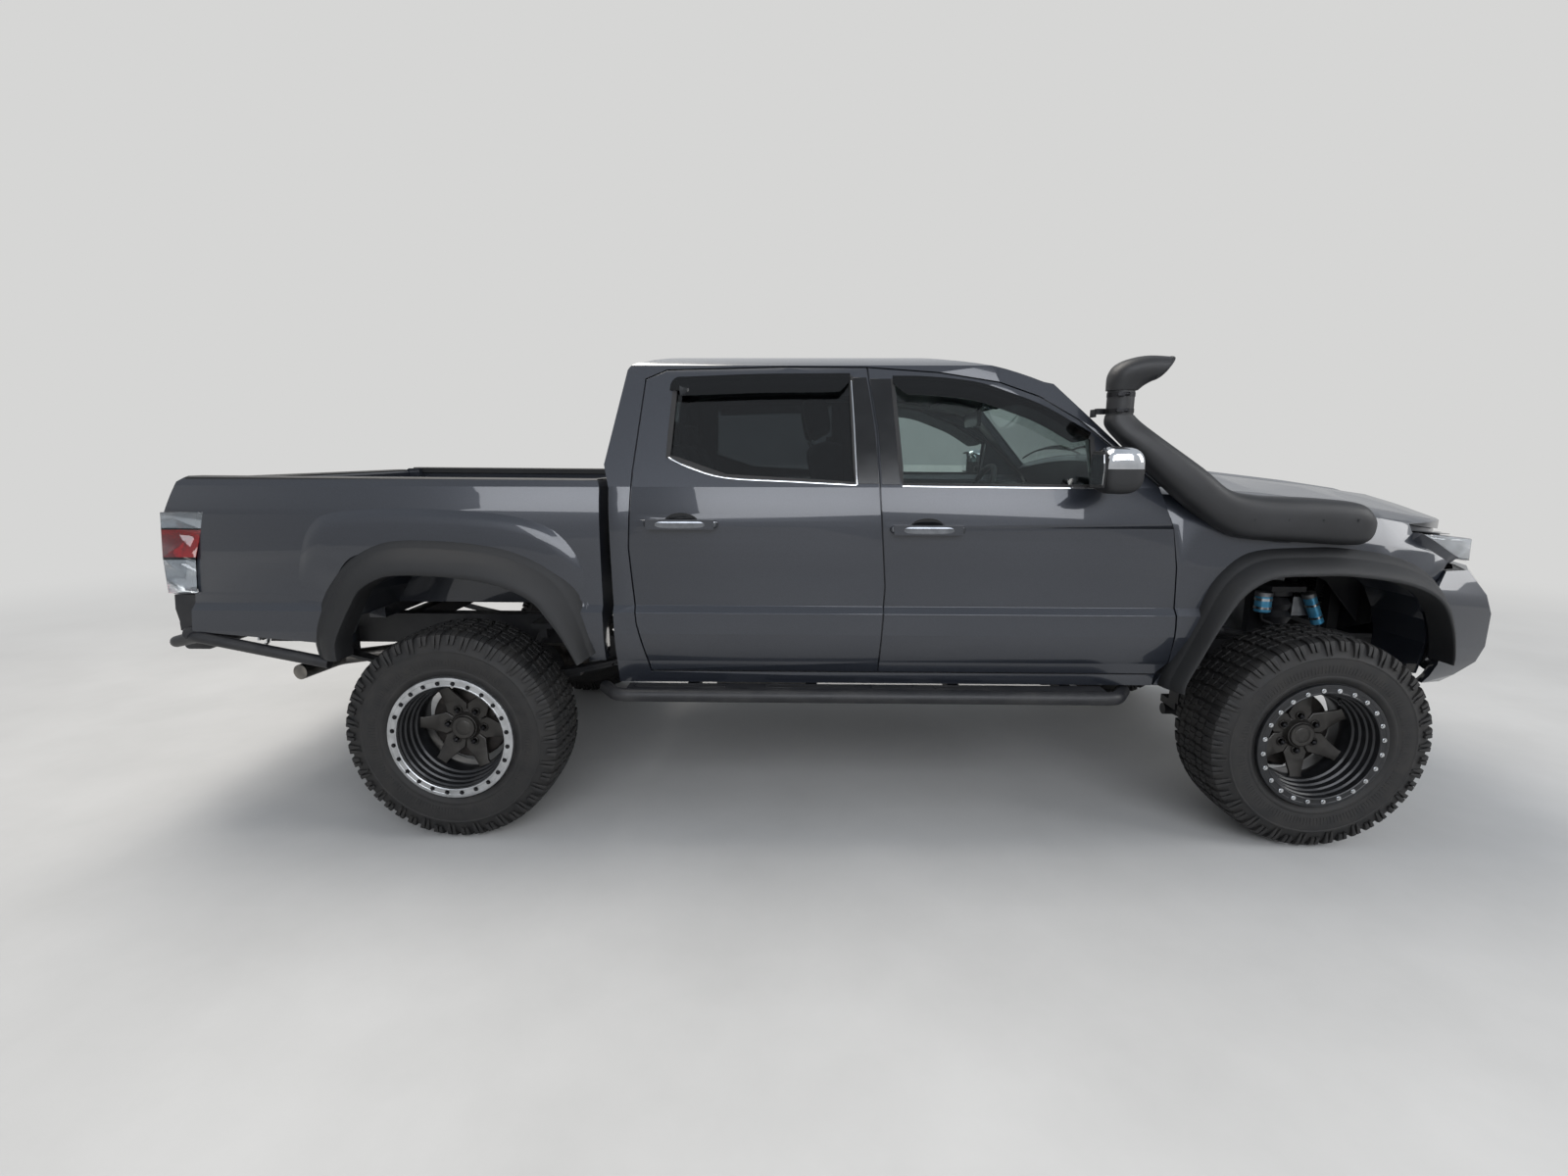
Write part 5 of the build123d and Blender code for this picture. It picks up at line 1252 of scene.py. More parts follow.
def makeFlares():
    whole = bmesh.new()
    for place in ("front", "rear"):
        for part in (buildFlare(place), mirrored(buildFlare(place))):
            mesh = bpy.data.meshes.new("flarePart")
            part.to_mesh(mesh)
            whole.from_mesh(mesh)
            bpy.data.meshes.remove(mesh)
            part.free()
    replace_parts(finishPiece(whole, "archFlares", [arch], "body", angle=50), "flares")


# Header panel that closes the gap from the hood's front edge to the lamps and the grille
headerLook = {"edge": [(2140, 706), (2254, 690), (2384, 604), (2450, 508), (2494, 376),
                       (2518, 198), (2523, 0)],
              "grille": (500, 1142, 1150), "lampTop": (1182, 2132, 36, 348)}


def buildHeader():
    hoodTree, grilleTree, lampTree = map(surfaceOf, ("hood", "grille", "headlamps"))
    plan = [(x, -y, 0) for x, y in headerLook["edge"]]
    plan = smoothPath(plan + [(spot[0], -spot[1], 0) for spot in plan[-2::-1]], 6)
    grilleHalf, grilleMiddle, grilleLow = headerLook["grille"]
    lampHigh, lampStart, fall, run = headerLook["lampTop"]
    bm = bmesh.new()
    rings = []
    for x, y in (spot[:2] for spot in plan):
        roof = hoodTree.ray_cast(mm(x - 6, y, 900), Vector((0, 0, 1)))[0]
        top = roof.z * 1000 - 6
        lampTop = lampHigh - (x - lampStart) * fall / run
        front = grilleTree.ray_cast(mm(3000, y, grilleMiddle), Vector((-1, 0, 0)))[0]
        away = Vector((1, y / 900, 0)).normalized()
        if front and abs(y) < grilleHalf:
            reach = max(front.x * 1000 - 3 - x, 6)
            low = grilleLow
        else:
            start = Vector((x, y, lampTop - 5))
            lamp = lampTree.ray_cast((start + away * 500) * 0.001, -away)[0]
            reach = max((lamp * 1000 - start).dot(away) - 2, 6) if lamp else 6
            low = lampTop + 1
        rings.append([(Vector((x, y, 0)) + away * out + Vector((0, 0, high))) * 0.001
                      for out, high in ((0, top), (3, top), (5, min(low + 8, top)),
                                        (reach, min(low + 4, top)), (reach, low), (0, low))])
    addRings(bm, rings)
    return bm


# Painted edge that carries the fender's skin out to the headlamp. Rows are x, z.
flankLook = {"start": (2131, 1184), "end": (2287, 1094), "lampMiddle": (2300, 1120),
             "back": (-15, -26), "steps": 14}


def buildLampFlank():
    fenderTree, lampTree = surfaceOf("front_fenders"), surfaceOf("headlamps")

    def skinAt(tree, spot):
        hit = tree.ray_cast(mm(spot.x, -3000, spot.y), Vector((0, 1, 0)))[0]
        return hit.y * 1000 if hit else None

    bm = bmesh.new()
    rings = []
    start, end, middle, back = (Vector(flankLook[key])
                                for key in ("start", "end", "lampMiddle", "back"))
    for count in range(flankLook["steps"] + 1):
        edge = start.lerp(end, count / flankLook["steps"])
        low = edge + back
        lampY = skinAt(lampTree, edge.lerp(middle, 0.08)) or -820
        skin = skinAt(fenderTree, low)
        if skin is None or skin > -700:
            skin = lampY + 16
        rings.append([Vector(p) * 0.001 for p in (
            (low.x, skin - 0.3, low.y), (edge.x, lampY + 1, edge.y), (edge.x, lampY + 45, edge.y),
            (low.x, skin + 20, low.y))])
    addRings(bm, rings)
    return bm


def makeBulges():
    bothSides(buildLampFlank, "lampFlank", [paint], angle=40)
    finishPiece(buildHeader(), "headerPanel", [paint], "body", angle=40)
    bothSides(buildBulge, "archBulge", [paint], angle=40)
    finishPiece(buildHoodBulge(), "hoodBulge", [paint], "hood", angle=40)


makeSnorkel()
makeMirrors()
makeDoorTrim()
makeBulges()
makeFlares()
makeTailLamps()
makeHeadlamps()
print("scene: body pieces made")

# Nose: fog lamps, skid plate, tow hooks; windscreen wipers and the panel under them
noseLook = {"fog": (2566, 660, 760), "fogOut": (0.94, 0.342, 0), "screenTop": (766, 1734),
            "down": (0.7471, 0, -0.6648), "out": (0.6648, 0, 0.7471), "crown": 90, "half": 790}


def screenPoint(y, t, lift):
    down, out = Vector(noseLook["down"]), Vector(noseLook["out"])
    crown = noseLook["crown"] * (1 - (y / noseLook["half"]) ** 2)
    top = Vector((noseLook["screenTop"][0], 0, noseLook["screenTop"][1]))
    return top + down * t + out * (crown + lift) + Vector((0, y, 0))


# Materials: 0 black surround, 1 bright bowl, 2 lens.
def buildFogLamp():
    bm = bmesh.new()
    x, y, z = noseLook["fog"]
    out = Vector((noseLook["fogOut"][0], -noseLook["fogOut"][1], 0)).normalized()
    centre = Vector((x, -y, z))
    addTurned(bm, centre, out, [(-16, 57), (-3, 57), (0, 55), (-1, 48), (-12, 45), (-15, 45)],
              48, 0)
    addTurned(bm, centre, out, [(-15.6, 44), (-9, 44), (-7, 41), (-12, 22), (-14.5, 8)], 48, 1)
    addTurned(bm, centre, out, [(-6.5, 45.4), (-4.2, 44), (-2.4, 30), (-1.8, 14), (-1.7, 1),
                                (-3.6, 1), (-4.2, 14), (-5, 30), (-8, 44)], 48, 2)
    for turn in around(3):
        ray = Vector((0, 0, 1)) * cos(turn) + out.cross(Vector((0, 0, 1))) * sin(turn)
        addBolt(bm, centre + ray * 51.4 - out * 2.4, out, 2.4, 2.4, 0)
    return bm


# Materials: 0 alloy skid plate, 1 black steel, 2 bright bolts.
def buildNoseTrim():
    bm = bmesh.new()
    rows = [(2566, 628), (2560, 614), (2440, 551), (2080, 545), (2080, 550), (2438, 557),
            (2552, 617)]
    addPrism(bm, rows, "Y", -330, 330, 0)
    for y in (-260, -130, 0, 130, 260):
        addPrism(bm, [(2548, 610), (2438, 547), (2100, 541), (2100, 546), (2436, 553),
                      (2548, 616)], "Y", y - 11, y + 11, 0)
    for y in (-300, -195, -65, 65, 195, 300):
        for x, z in ((2150, 544.5), (2400, 549.5)):
            addBolt(bm, (x, y, z), (0, 0, -1), 8, 6, 2)
    for y in (-395, 395):
        hook = [(2420, y, 598), (2500, y, 596), (2562, y, 592), (2586, y, 575), (2570, y, 556),
                (2528, y, 556)]
        addTube(bm, smoothPath(hook, 6), 10, 14, 1)
    return bm


# Materials: 0 satin black arms, 1 rubber blade, 2 slotted panel.
def buildWipers():
    bm = bmesh.new()
    out = Vector(noseLook["out"])
    for pivotY, startY, endY in ((-560, -545, 20), (40, 55, 650)):
        blade = [screenPoint(startY + (endY - startY) * k / 12, 462 - 26 * sin(
            pi * k / 12), -7.5) for k in range(13)]
        addTube(bm, blade, 3.4, 8, 1)
        addTube(bm, [spot + out * 5 for spot in blade], 4.2, 8, 0, 0.7)
        pivot = screenPoint(pivotY, 526, 4)
        arm = [pivot, pivot + out * 9, blade[2] + out * 17 + Vector((0, 8, 0)),
               blade[6] + out * 8]
        addTube(bm, smoothPath(arm, 5), 5.2, 10, 0, 0.6)
        addRod(bm, pivot - out * 4, pivot + out * 14, 12,
               20, 0, 9)
    rings = []
    for k in range(29):
        y = -690 + 1380 * k / 28
        rings.append([screenPoint(y, t, lift) * 0.001 for t, lift in (
            (506, -3), (506, 1.8), (520, 3.2), (548, 3.2), (556, 1.0), (556, -3))])
    addRings(bm, rings, 2)
    for k in range(58):
        y = -660 + 1320 * k / 57
        a, b = screenPoint(y, 518, 4), screenPoint(y + 5, 546, 4)
        addRod(bm, a, b, 2.1, 6, 2)
    return bm


# Radiator with its tanks, shroud and support, and the inner aprons beside the engine.
# Materials: 0 alloy fins, 1 black plastic, 2 painted sheet.
radiatorLook = {"x": 2212, "half": 330, "low": 716, "high": 1104, "tubes": 30, "apronY": 474}


def buildRadiator():
    bm = bmesh.new()
    x, half, low, high = (radiatorLook[key] for key in ("x", "half", "low", "high"))
    addBlock(bm, x, x + 10, -half, half, low, high, 1)
    for count in range(radiatorLook["tubes"]):
        z = low + (high - low) * (count + 0.5) / radiatorLook["tubes"]
        addBlock(bm, x - 12, x + 24, -half, half, z - 2.4, z + 2.4, 0)
    for side in (-1, 1):
        y0, y1 = sorted((side * half, side * (half + 46)))
        addBlock(bm, x - 18, x + 30, y0, y1, low - 10, high + 10, 1)
        wing = [(side * (half + 30), low - 16), (side * 548, low + 60), (side * 556, 1010),
                (side * 500, 1122), (side * (half + 30), 1128)]
        addPrism(bm, wing, "X", x + 32, x + 36, 2)
        y = side * radiatorLook["apronY"]
        apron = [(1420, 900), (1620, 1010), (1930, 1016), (2090, 940), (x + 34, 760),
                 (x + 34, 1118), (1990, 1150), (1420, 1190)]
        addPrism(bm, apron, "Y", y - 1.5, y + 1.5, 2)
    addBlock(bm, x + 20, x + 70, -500, 500, 1112, 1130, 2)
    for y in (-165, 165):
        addTurned(bm, (x - 14, y, 910), (-1, 0, 0),
                  [(0, 150), (0, 158), (34, 158), (34, 154), (6, 150)], 40, 1)
        addRod(bm, (x - 16, y, 910), (x - 44, y, 910), 34, 24, 1)
        for turn in around(7):
            ray = Vector((0, cos(turn), sin(turn)))
            tip = Vector((x - 34, y, 910)) + ray * 146
            addRod(bm, Vector((x - 26, y, 910)) + ray * 30, tip, 9, 6, 1, 15)
    return bm


# Under the hood, on and around the engine block. Hidden in the photo, so usual forms.
# Materials: 0 black covers, 1 alloy, 2 rubber, 3 bright metal, 4 black coat, 5 tank plastic.
engineLook = {
    "cover": bothHalves([(-232, 1131), (-232, 1146), (-206, 1166), (-60, 1174)]),
    "pulleys": [(0, 800, 86), (-128, 905, 46), (132, 930, 52), (20, 985, 34), (-96, 1050, 58)],
    "intake": [(1790, -386, 1096), (1880, -372, 1112), (1962, -300, 1128), (2000, -190, 1132),
               (1986, -92, 1130), (1930, -50, 1128)],
    "hoses": [([(2200, 190, 1074), (2150, 186, 1078), (2100, 150, 1060), (2042, 110, 1040)], 21),
              ([(2200, -240, 770), (2140, -236, 766), (2090, -190, 772), (2042, -150, 780)], 21),
              ([(1424, 150, 1080), (1440, 196, 1150), (1500, 250, 1150), (1560, 268, 1128)], 11),
              ([(1424, 190, 1050), (1446, 250, 1130), (1520, 300, 1128), (1600, 306, 1090)], 11),
              ([(1630, 378, 1100), (1700, 330, 1120), (1800, 296, 1124), (1860, 250, 1150)], 7)]}


def buildEngineBay():
    bm = bmesh.new()
    addPrism(bm, engineLook["cover"], "X", 1466, 1900, 0)
    for y in (-150, -50, 50, 150):
        addBlock(bm, 1486, 1880, y - 9, y + 9, 1150, 1179, 0)
    for x in (1510, 1856):
        for y in (-190, 190):
            addBolt(bm, (x, y, 1168), (0, 0, 1), 7, 7, 3)
    for y0, y1 in ((-298, -242), (242, 298)):
        addPrism(bm, lidRows(y0, y1, 1131, 1166, 10, 10), "X", 1440, 1980, 1)
    for y in (-322, 322):
        for count in range(3):
            x = 1520 + count * 160
            addTube(bm, [(x, y * 0.93, 1060), (x, y * 1.02, 1050), (x, y * 1.06, 990)], 21, 16, 3)
        addRod(bm, (1480, y * 1.06, 980), (1900, y * 1.06, 980), 27, 20, 3)
    for y, z, radius in engineLook["pulleys"]:
        addTurned(bm, (2041, y, z), (1, 0, 0),
                  [(0, 12), (8, radius * 0.5), (8, radius), (12, radius - 3), (24, radius - 3),
                   (28, radius), (28, radius - 7), (18, radius - 9), (18, 14), (32, 12), (32, 0)],
                  36, 3)
    # Air cleaner with its lid, clips and intake duct, battery with its terminals
    addPrism(bm, lidRows(1600, 1800, 990, 1100, 12, 10), "Y", -460, -318, 0)
    addPrism(bm, lidRows(1596, 1804, 1102, 1146, 30, 18), "Y", -464, -314, 0)
    for x in (1640, 1760):
        addBlock(bm, x - 8, x + 8, -313, -309, 1078, 1122, 3)
    addTube(bm, smoothPath(engineLook["intake"], 5), 36, 24, 2)
    for x, y, z in engineLook["intake"][1:-1:2]:
        addRod(bm, (x - 4, y, z), (x + 4, y, z), 39, 24, 3)
    addBlock(bm, 1850, 2080, 322, 462, 930, 1092, 0)
    addBlock(bm, 1846, 2084, 318, 466, 1093, 1108, 4)
    for x in (1890, 2040):
        addRod(bm, (x, 350, 1108), (x, 350, 1126), 9, 16, 3)
        addBlock(bm, x - 16, x + 16, 338, 366, 1112, 1121, 3)
    addBlock(bm, 1956, 1976, 314, 470, 1108, 1114, 3)
    # Brake booster, its cylinder and reservoir, coolant tank
    addTurned(bm, (1440, 392, 1050), (1, 0, 0),
              [(0, 0), (0, 66), (8, 76), (40, 80), (44, 84), (50, 84), (54, 80), (78, 66),
               (88, 30), (88, 0)], 40, 4)
    addRod(bm, (1528, 392, 1050), (1640, 392, 1050), 20, 20, 3)
    addPrism(bm, [(1540, 1072), (1536, 1118), (1560, 1126), (1624, 1126), (1630, 1072)], "Y",
             368, 416, 5)
    addRod(bm, (1584, 392, 1126), (1584, 392, 1140), 19, 24, 0)
    addPrism(bm, [(2020, 1000), (2016, 1086), (2030, 1098), (2140, 1098), (2150, 1086),
                  (2150, 1000)], "Y", -462, -372, 5)
    addRod(bm, (2084, -417, 1098), (2084, -417, 1116), 22, 24, 0)
    for points, radius in engineLook["hoses"]:
        addTube(bm, smoothPath(points, 6), radius, 18, 2)
    return bm


def makeNose():
    finishPiece(buildEngineBay(), "engineBay", [smoothBlack, castAlloy, sealRubberAndSlotShade, zincBright,
                                                powder, tankPlastic], "body", 2.5, 2)
    finishPiece(buildRadiator(), "radiatorSupport", [castAlloy, arch, powder], "body", 1.0, 1)
    bothSides(buildFogLamp, "fogLamp", [smoothBlack, chrome, clearLens],
              angle=40)
    finishPiece(buildNoseTrim(), "skidPlate", [castAlloy, powder, zincBright], "body", 1.2, 1)
    finishPiece(buildWipers(), "wipersAndCowl", [smoothBlack, sealRubberAndSlotShade, arch], "body", angle=40)


# Bed: ribbed floor liner, rail caps, cleats, tailgate cap and inner panel, plain plate lamp
bedLook = {"ribs": 15, "pitch": 72, "rails": (-2446, -900), "floor": 890}


# Materials: 0 textured liner, 1 black caps, 2 bright cleats.
def buildBedTrim():
    bm = bmesh.new()
    z = bedLook["floor"]
    addBlock(bm, -2440, -952, -530, 530, z + 0.4, z + 3.4, 0)
    for side in (-1, 1):
        for x0, x1 in ((-2440, -1936), (-962, -952)):
            addBlock(bm, x0, x1, side * 530, side * 768, z + 0.4, z + 3.4, 0)
    for k in range(bedLook["ribs"]):
        y = (k - (bedLook["ribs"] - 1) / 2) * bedLook["pitch"]
        addPrism(bm, [(y - 20, z + 3), (y - 14, z + 9), (y + 14, z + 9), (y + 20, z + 3)], "X",
                 -2420, -972, 0)
    x0, x1 = bedLook["rails"]
    for side in (-1, 1):
        rings = []
        for k in range(13):
            x = x0 + (x1 - x0) * k / 12
            top = 1375 - 8 * (x - x0) / (x1 - x0)
            rings.append([mm(x, side * y, top + dz) for y, dz in (
                (767, -26), (764, -26), (764, 1), (768, 5), (838, 5), (852, 1), (853, -9),
                (850, -9), (848, 0.5), (770, 0.5), (767, -3))])
        addRings(bm, rings, 1)
        for x in (-2320, -1640, -1050):
            addBlock(bm, x - 34, x + 34, side * 774.6, side * 769, 1262, 1300, 1)
            loop = [(x - 20, side * 770, 1281), (x - 18, side * 752, 1281),
                    (x, side * 746, 1281), (x + 18, side * 752, 1281), (x + 20, side * 770, 1281)]
            addTube(bm, smoothPath(loop, 4), 4.6, 10, 2)
    cap = [(-952, 1341), (-948, 1341), (-948, 1366), (-944, 1370), (-900, 1371), (-897, 1366),
           (-899, 1366), (-902, 1367.6), (-946, 1367.6), (-952, 1362)]
    addPrism(bm, cap, "Y", -758, 758, 1)
    return bm


# Materials: 0 black cap and handle, 1 liner, 2 bright catch.
def buildTailgateTrim():
    bm = bmesh.new()
    cap = [(-2512, 1356), (-2514, 1364), (-2508, 1369), (-2460, 1369), (-2453, 1364),
           (-2454, 1350), (-2456, 1350), (-2458, 1362), (-2508, 1363.6)]
    addPrism(bm, cap, "Y", -708, 708, 0)
    addPrism(bm, cutCorners(106, 1224, 1301, 6, 5), "X", -2502, -2496, 0)
    rings = []
    for x, half, low, high in ((-2497, 84, 1251, 1289), (-2514, 84, 1251, 1289),
                               (-2517, 80, 1255, 1286)):
        rings.append([mm(x, y, z) for y, z in cutCorners(half, low, high, 6, 6)])
    addRings(bm, rings, 0)
    addBlock(bm, -2449.6, -2446, -640, 640, 965, 1330, 1)
    for k in range(9):
        y = -560 + k * 140
        addBlock(bm, -2446.2, -2442, y - 26, y + 26, 985, 1310, 1)
    for y in (-700, 700):
        addRod(bm, (-2470, y - 12, 1300), (-2470, y + 12, 1300), 9, 16, 2)
    return bm


# Materials: 0 grained step pads, 1 powder-coated steel, 2 bright bolts, 3 red reflector.
def buildRearBumperTrim():
    bm = bmesh.new()
    for side in (-1, 1):
        y0, y1 = sorted((side * 190, side * 680))
        addBlock(bm, -2668, -2582, y0, y1, 800.2, 803.6, 0)
        for k in range(12):
            y = y0 + 22 + k * 40.5
            addBlock(bm, -2660, -2590, y - 9, y + 9, 803.4, 806.4, 0)
        for x, y, z in ((-2520, side * 445, 700), (-2520, side * 445, 735)):
            addBolt(bm, (x - 24, y + side * 21, z), (0, side, 0), 8, 7, 2)
        addBlock(bm, -2684, -2680.6, side * 520, side * 600, 716, 742, 3)
        tab = [(-2682, 676), (-2682, 610), (-2660, 600), (-2640, 610), (-2630, 676)]
        addPrism(bm, tab, "Y", side * 300 - 9, side * 300 + 9, 1)
        ring = [(-2660, side * 300 + sin(t) * 30, 606 - cos(t) * 30)
                for t in around(24)[:19]]
        addTube(bm, ring, 8, 12, 2)
        addRod(bm, (-2470, side * 905, 790), (-2462, side * 916, 790), 24, 24, 1)
    addBlock(bm, -2684, -2679, -160, 160, 690, 790, 0)
    for y in (-120, 120):
        addBlock(bm, -2684, -2664, y - 16, y + 16, 790, 798, 1)
    return bm


def makeBed():
    finishPiece(buildBedTrim(), "bedLiner", [liner, arch, zincBright], "body", 1.0, 1)
    finishPiece(buildTailgateTrim(), "tailgateTrim", [arch, liner, zincBright], "tailgate", 1.0, 1)
    finishPiece(buildRearBumperTrim(), "bumperTrim", [arch, powder, zincBright, redLens], "body",
                0.8, 1)


# Step plates on the rock sliders: pressed rims around the four long slots.
# Materials: 0 powder-coated rim, 1 dark slot floor, a thin dark plate that is painted shade in
# each slot's hollow.
sliderLook = {"slots": [(-777, -426), (-278, 70), (125, 290), (362, 563)], "near": 928, "far": 890}


def buildSliderSlots():
    tree = surfaceOf("sliders")
    bm = bmesh.new()
    for low, high in sliderLook["slots"]:
        middle = ((low + high) / 2, -(sliderLook["near"] + sliderLook["far"]) / 2)
        hit = tree.ray_cast(mm(middle[0], middle[1], 620), Vector((0, 0, -1)))[0]
        top = hit.z * 1000
        length, width = (high - low) / 2, (sliderLook["near"] - sliderLook["far"]) / 2
        rings = []
        for turn in around(48, 0.5):
            out = Vector((softened(cos(turn), 0.22), softened(sin(turn), 0.5)))
            rings.append([mm(middle[0] + out.x * (length + grow),
                             middle[1] + out.y * (width + grow), top + rise)
                          for grow, rise in ((0, -0.5), (0, 2.6), (-2.5, 3.4), (-5, 2.0),
                                             (-5, -0.5))])
        addRings(bm, rings, 0, closed=True, capped=False)
        # Thin dark plate level with the step's top: painted shade where the slot's hollow lies
        addBlock(bm, low + 4, high - 4, middle[1] - width + 4, middle[1] + width - 4, top - 0.5,
                 top + 0.4, 1)
    return bm


# Running gear that shows in the arches: blue reservoirs, shock bodies, spring bolts and hoses
# Materials: 0 blue anodised, 1 alloy caps, 2 black hose, 3 bright clamps.
shockLook = {
    "reservoirs": [((1783, -560, 822), (1783, -560, 910), 31),
                   ((2022, -556, 774), (1966, -556, 904), 24)],
    "clamps": (0.22, 0.62),
    "hoses": [[(1783, -560, 822), (1790, -556, 790), (1830, -560, 770), (1856, -556, 740)],
              [(2022, -556, 776), (2026, -552, 742), (1950, -556, 716), (1880, -556, 722)]],
    "frontSleeve": [(0, 27.2), (0, 28.2), (3, 28.8), (70, 28.8), (74, 28.2), (74, 27.2)],
    "rearSleeve": [(0, 30.3), (0, 33), (4, 34.5), (118, 34.5), (124, 31), (124, 30.3)]}


def buildFrontShock():
    bm = bmesh.new()
    for foot, head, radius in shockLook["reservoirs"]:
        a, b = Vector(foot), Vector(head)
        length = (b - a).length
        addTurned(bm, a, b - a, [(0, 3), (0, radius - 4), (3, radius), (length - 22, radius),
                                 (length - 20, radius - 2), (length - 20, 3)], 36, 0)
        addTurned(bm, a, b - a, [(length - 20, 3), (length - 20, radius + 1.4),
                                 (length - 4, radius + 1.4), (length, radius - 4), (length, 3)],
                  36, 1)
        for share in shockLook["clamps"]:
            spot = a.lerp(b, share)
            addTurned(bm, spot, b - a, [(-5, radius), (-5, radius + 2.2), (5, radius + 2.2),
                                        (5, radius)], 36, 3)
            addBlock(bm, spot.x - 7, spot.x + 7, -560 + radius - 1, -560 + radius + 12,
                     spot.z - 5, spot.z + 5, 3)
    addPrism(bm, [(1926, 800), (2010, 800), (1990, 880), (1926, 880)], "Y", -530, -524, 1)
    for hose in shockLook["hoses"]:
        addTube(bm, smoothPath(hose, 6), 6, 10, 2)
    a, b = Vector((1861.5, -577.4, 468)), Vector((1861.5, -567, 546))
    addTurned(bm, a, b - a, shockLook["frontSleeve"], 36, 0)
    return bm


def buildRearShock():
    bm = bmesh.new()
    a, b = Vector((-1380, -600, 424)), Vector((-1322, -600, 545))
    addTurned(bm, a, b - a, shockLook["rearSleeve"], 36, 0)
    for x in (-1500, -1415):
        bolt = [(x, -484, 380), (x, -484, 520), (x, -490, 532), (x, -550, 532), (x, -556, 520),
                (x, -556, 380)]
        addTube(bm, smoothPath(bolt, 4), 7, 12, 3)
    addBlock(bm, -1520, -1395, -566, -474, 352, 364, 2)
    for x in (-1500, -1415):
        for y in (-484, -556):
            addRod(bm, (x, y, 342), (x, y, 353), 12, 6, 3)
    for x in (-1560, -1360):
        addBlock(bm, x - 16, x + 16, -553, -487, 455 + 8, 520, 2)
    addRod(bm, (-1457.5, -120, 412), (-1457.5, -118, 412), 150, 40, 2)
    return bm


def makeRunningGear():
    # The slots' dark floors use the seal rubber as painted shade
    bothSides(buildSliderSlots, "sliderSteps", [powder, sealRubberAndSlotShade], angle=40)
    bothSides(buildFrontShock, "frontReservoirs", [shockBlue, castAlloy, sealRubberAndSlotShade, zincBright],
              angle=40)
    bothSides(buildRearShock, "springBolts", [shockBlue, castAlloy, powder, zincBright], angle=40)


# Interior: crowned and sewn seat pads, steering wheel, dashboard parts, console, door cards
# Pad rows: part, x, z, half sizes, lean, sewn channels, bolster; a rear headrest has its own width
seatLook = {
    "front": 372, "bench": [("right", -440, 208), ("middle", 0, 216), ("left", 440, 208)],
    "frontPads": [
        ("Cushion", 322, 928, (300, 250, 66), -4, (-0.4, -0.1, 0.2, 0.5), 0.3),
        ("Back", 18, 1238, (285, 240, 72), -74, (-0.5, -0.2, 0.1, 0.4), 0.34),
        ("Headrest", -88, 1612, (82, 126, 44), -78, (), 0.34)],
    "rearPads": [("Cushion", -535, 928, 222, None, 66, -3, (-0.35, 0.0, 0.35), 0.2),
                 ("Back", -655, 1230, 285, None, 66, -73, (-0.35, 0.0, 0.35), 0.2),
                 ("Headrest", -745, 1548, 62, 120, 40, -76, (), 0.0)]}


# Closed stuffed form: rounded sides, crowned top with sewn channels and side bolsters. Its local
# up axis leans back by lean degrees about Y.
def buildPad(middle, half, lean, channels, bolster):
    bm = bmesh.new()
    turn = Matrix.Rotation(radians(-lean), 3, "Y")
    hx, hy, hz = half
    rings = []
    along = 30
    for j in range(along + 1):
        v = pi * (j / along - 0.5)
        cv, sv = abs(cos(v)) ** 0.34, softened(sin(v), 0.55)
        ring = []
        for u in around(72):
            x, y = softened(cos(u), 0.42) * cv, softened(sin(u), 0.42) * cv
            crown = 0.16 * (1 - x * x) * (1 - y * y)
            z = sv * (1 + crown if sv > 0 else 1)
            if sv > 0:
                edge = max(0.0, abs(y) - 0.62) / 0.38
                z += bolster * sin(pi * min(edge, 1)) * 1.1
                for c in channels:
                    z -= 0.14 * exp(-((x - c) / 0.028) ** 2) * (1 if abs(y) < 0.66 else 0)
                z -= 0.12 * exp(-((abs(y) - 0.64) / 0.022) ** 2)
            pinch = 1 - 0.035 * (1 - abs(sv)) * (abs(x * y) < 0.35)
            ring.append((turn @ Vector((x * hx * pinch, y * hy * pinch, z * hz))
                         + Vector(middle)) * 0.001)
        rings.append(ring)
    addRings(bm, rings)
    return bm


def makeSeats():
    y = seatLook["front"]
    pads = [("frontSeat", word, part, (x, at, z), half, lean, channels, bolster)
            for word, at in (("right", -y), ("left", y))
            for part, x, z, half, lean, channels, bolster in seatLook["frontPads"]]
    pads += [("rearBench", word, part, (x, at, z), (long, wide if wide else broad, thick), lean,
              channels, bolster)
             for word, at, broad in seatLook["bench"]
             for part, x, z, long, wide, thick, lean, channels, bolster in seatLook["rearPads"]]
    for count, (kind, word, part, middle, half, lean, channels, bolster) in enumerate(pads):
        pad = finishPiece(buildPad(middle, half, lean, channels, bolster),
                          kind + part + "_" + word, [cloth], "body", angle=60)
        if count == 0:
            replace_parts(pad, "seats")
    bm = bmesh.new()
    for y in (-seatLook["front"], seatLook["front"]):
        addBlock(bm, 60, 590, y - 205, y + 205, 768, 868, 0)
        for side in (-170, 170):
            addBlock(bm, 90, 560, y + side - 20, y + side + 20, 690.4, 772, 1)
            addRod(bm, (-92, y + side * 0.32, 1500), (-112, y + side * 0.32, 1560), 6, 14, 2)
        addBlock(bm, 240, 330, y - 232, y - 206, 830, 900, 0)
    addBlock(bm, -752, -330, -648, 648, 690.4, 866, 0)
    finishPiece(bm, "seatBases", [trimSoft, powder, zincBright], "body", 6, 2)


# Steering wheel. Spokes: angle and half width. Materials: 0 soft skin, 1 gloss black, 2 bright.
helmLook = {"hub": (800, 372, 1235), "axis": (-0.9135, 0, 0.4067), "up": (0.4067, 0, 0.9135),
            "rim": 182, "grip": 14.5, "thumb": 2.2, "spokes": ((0, 22), (180, 22), (270, 26))}


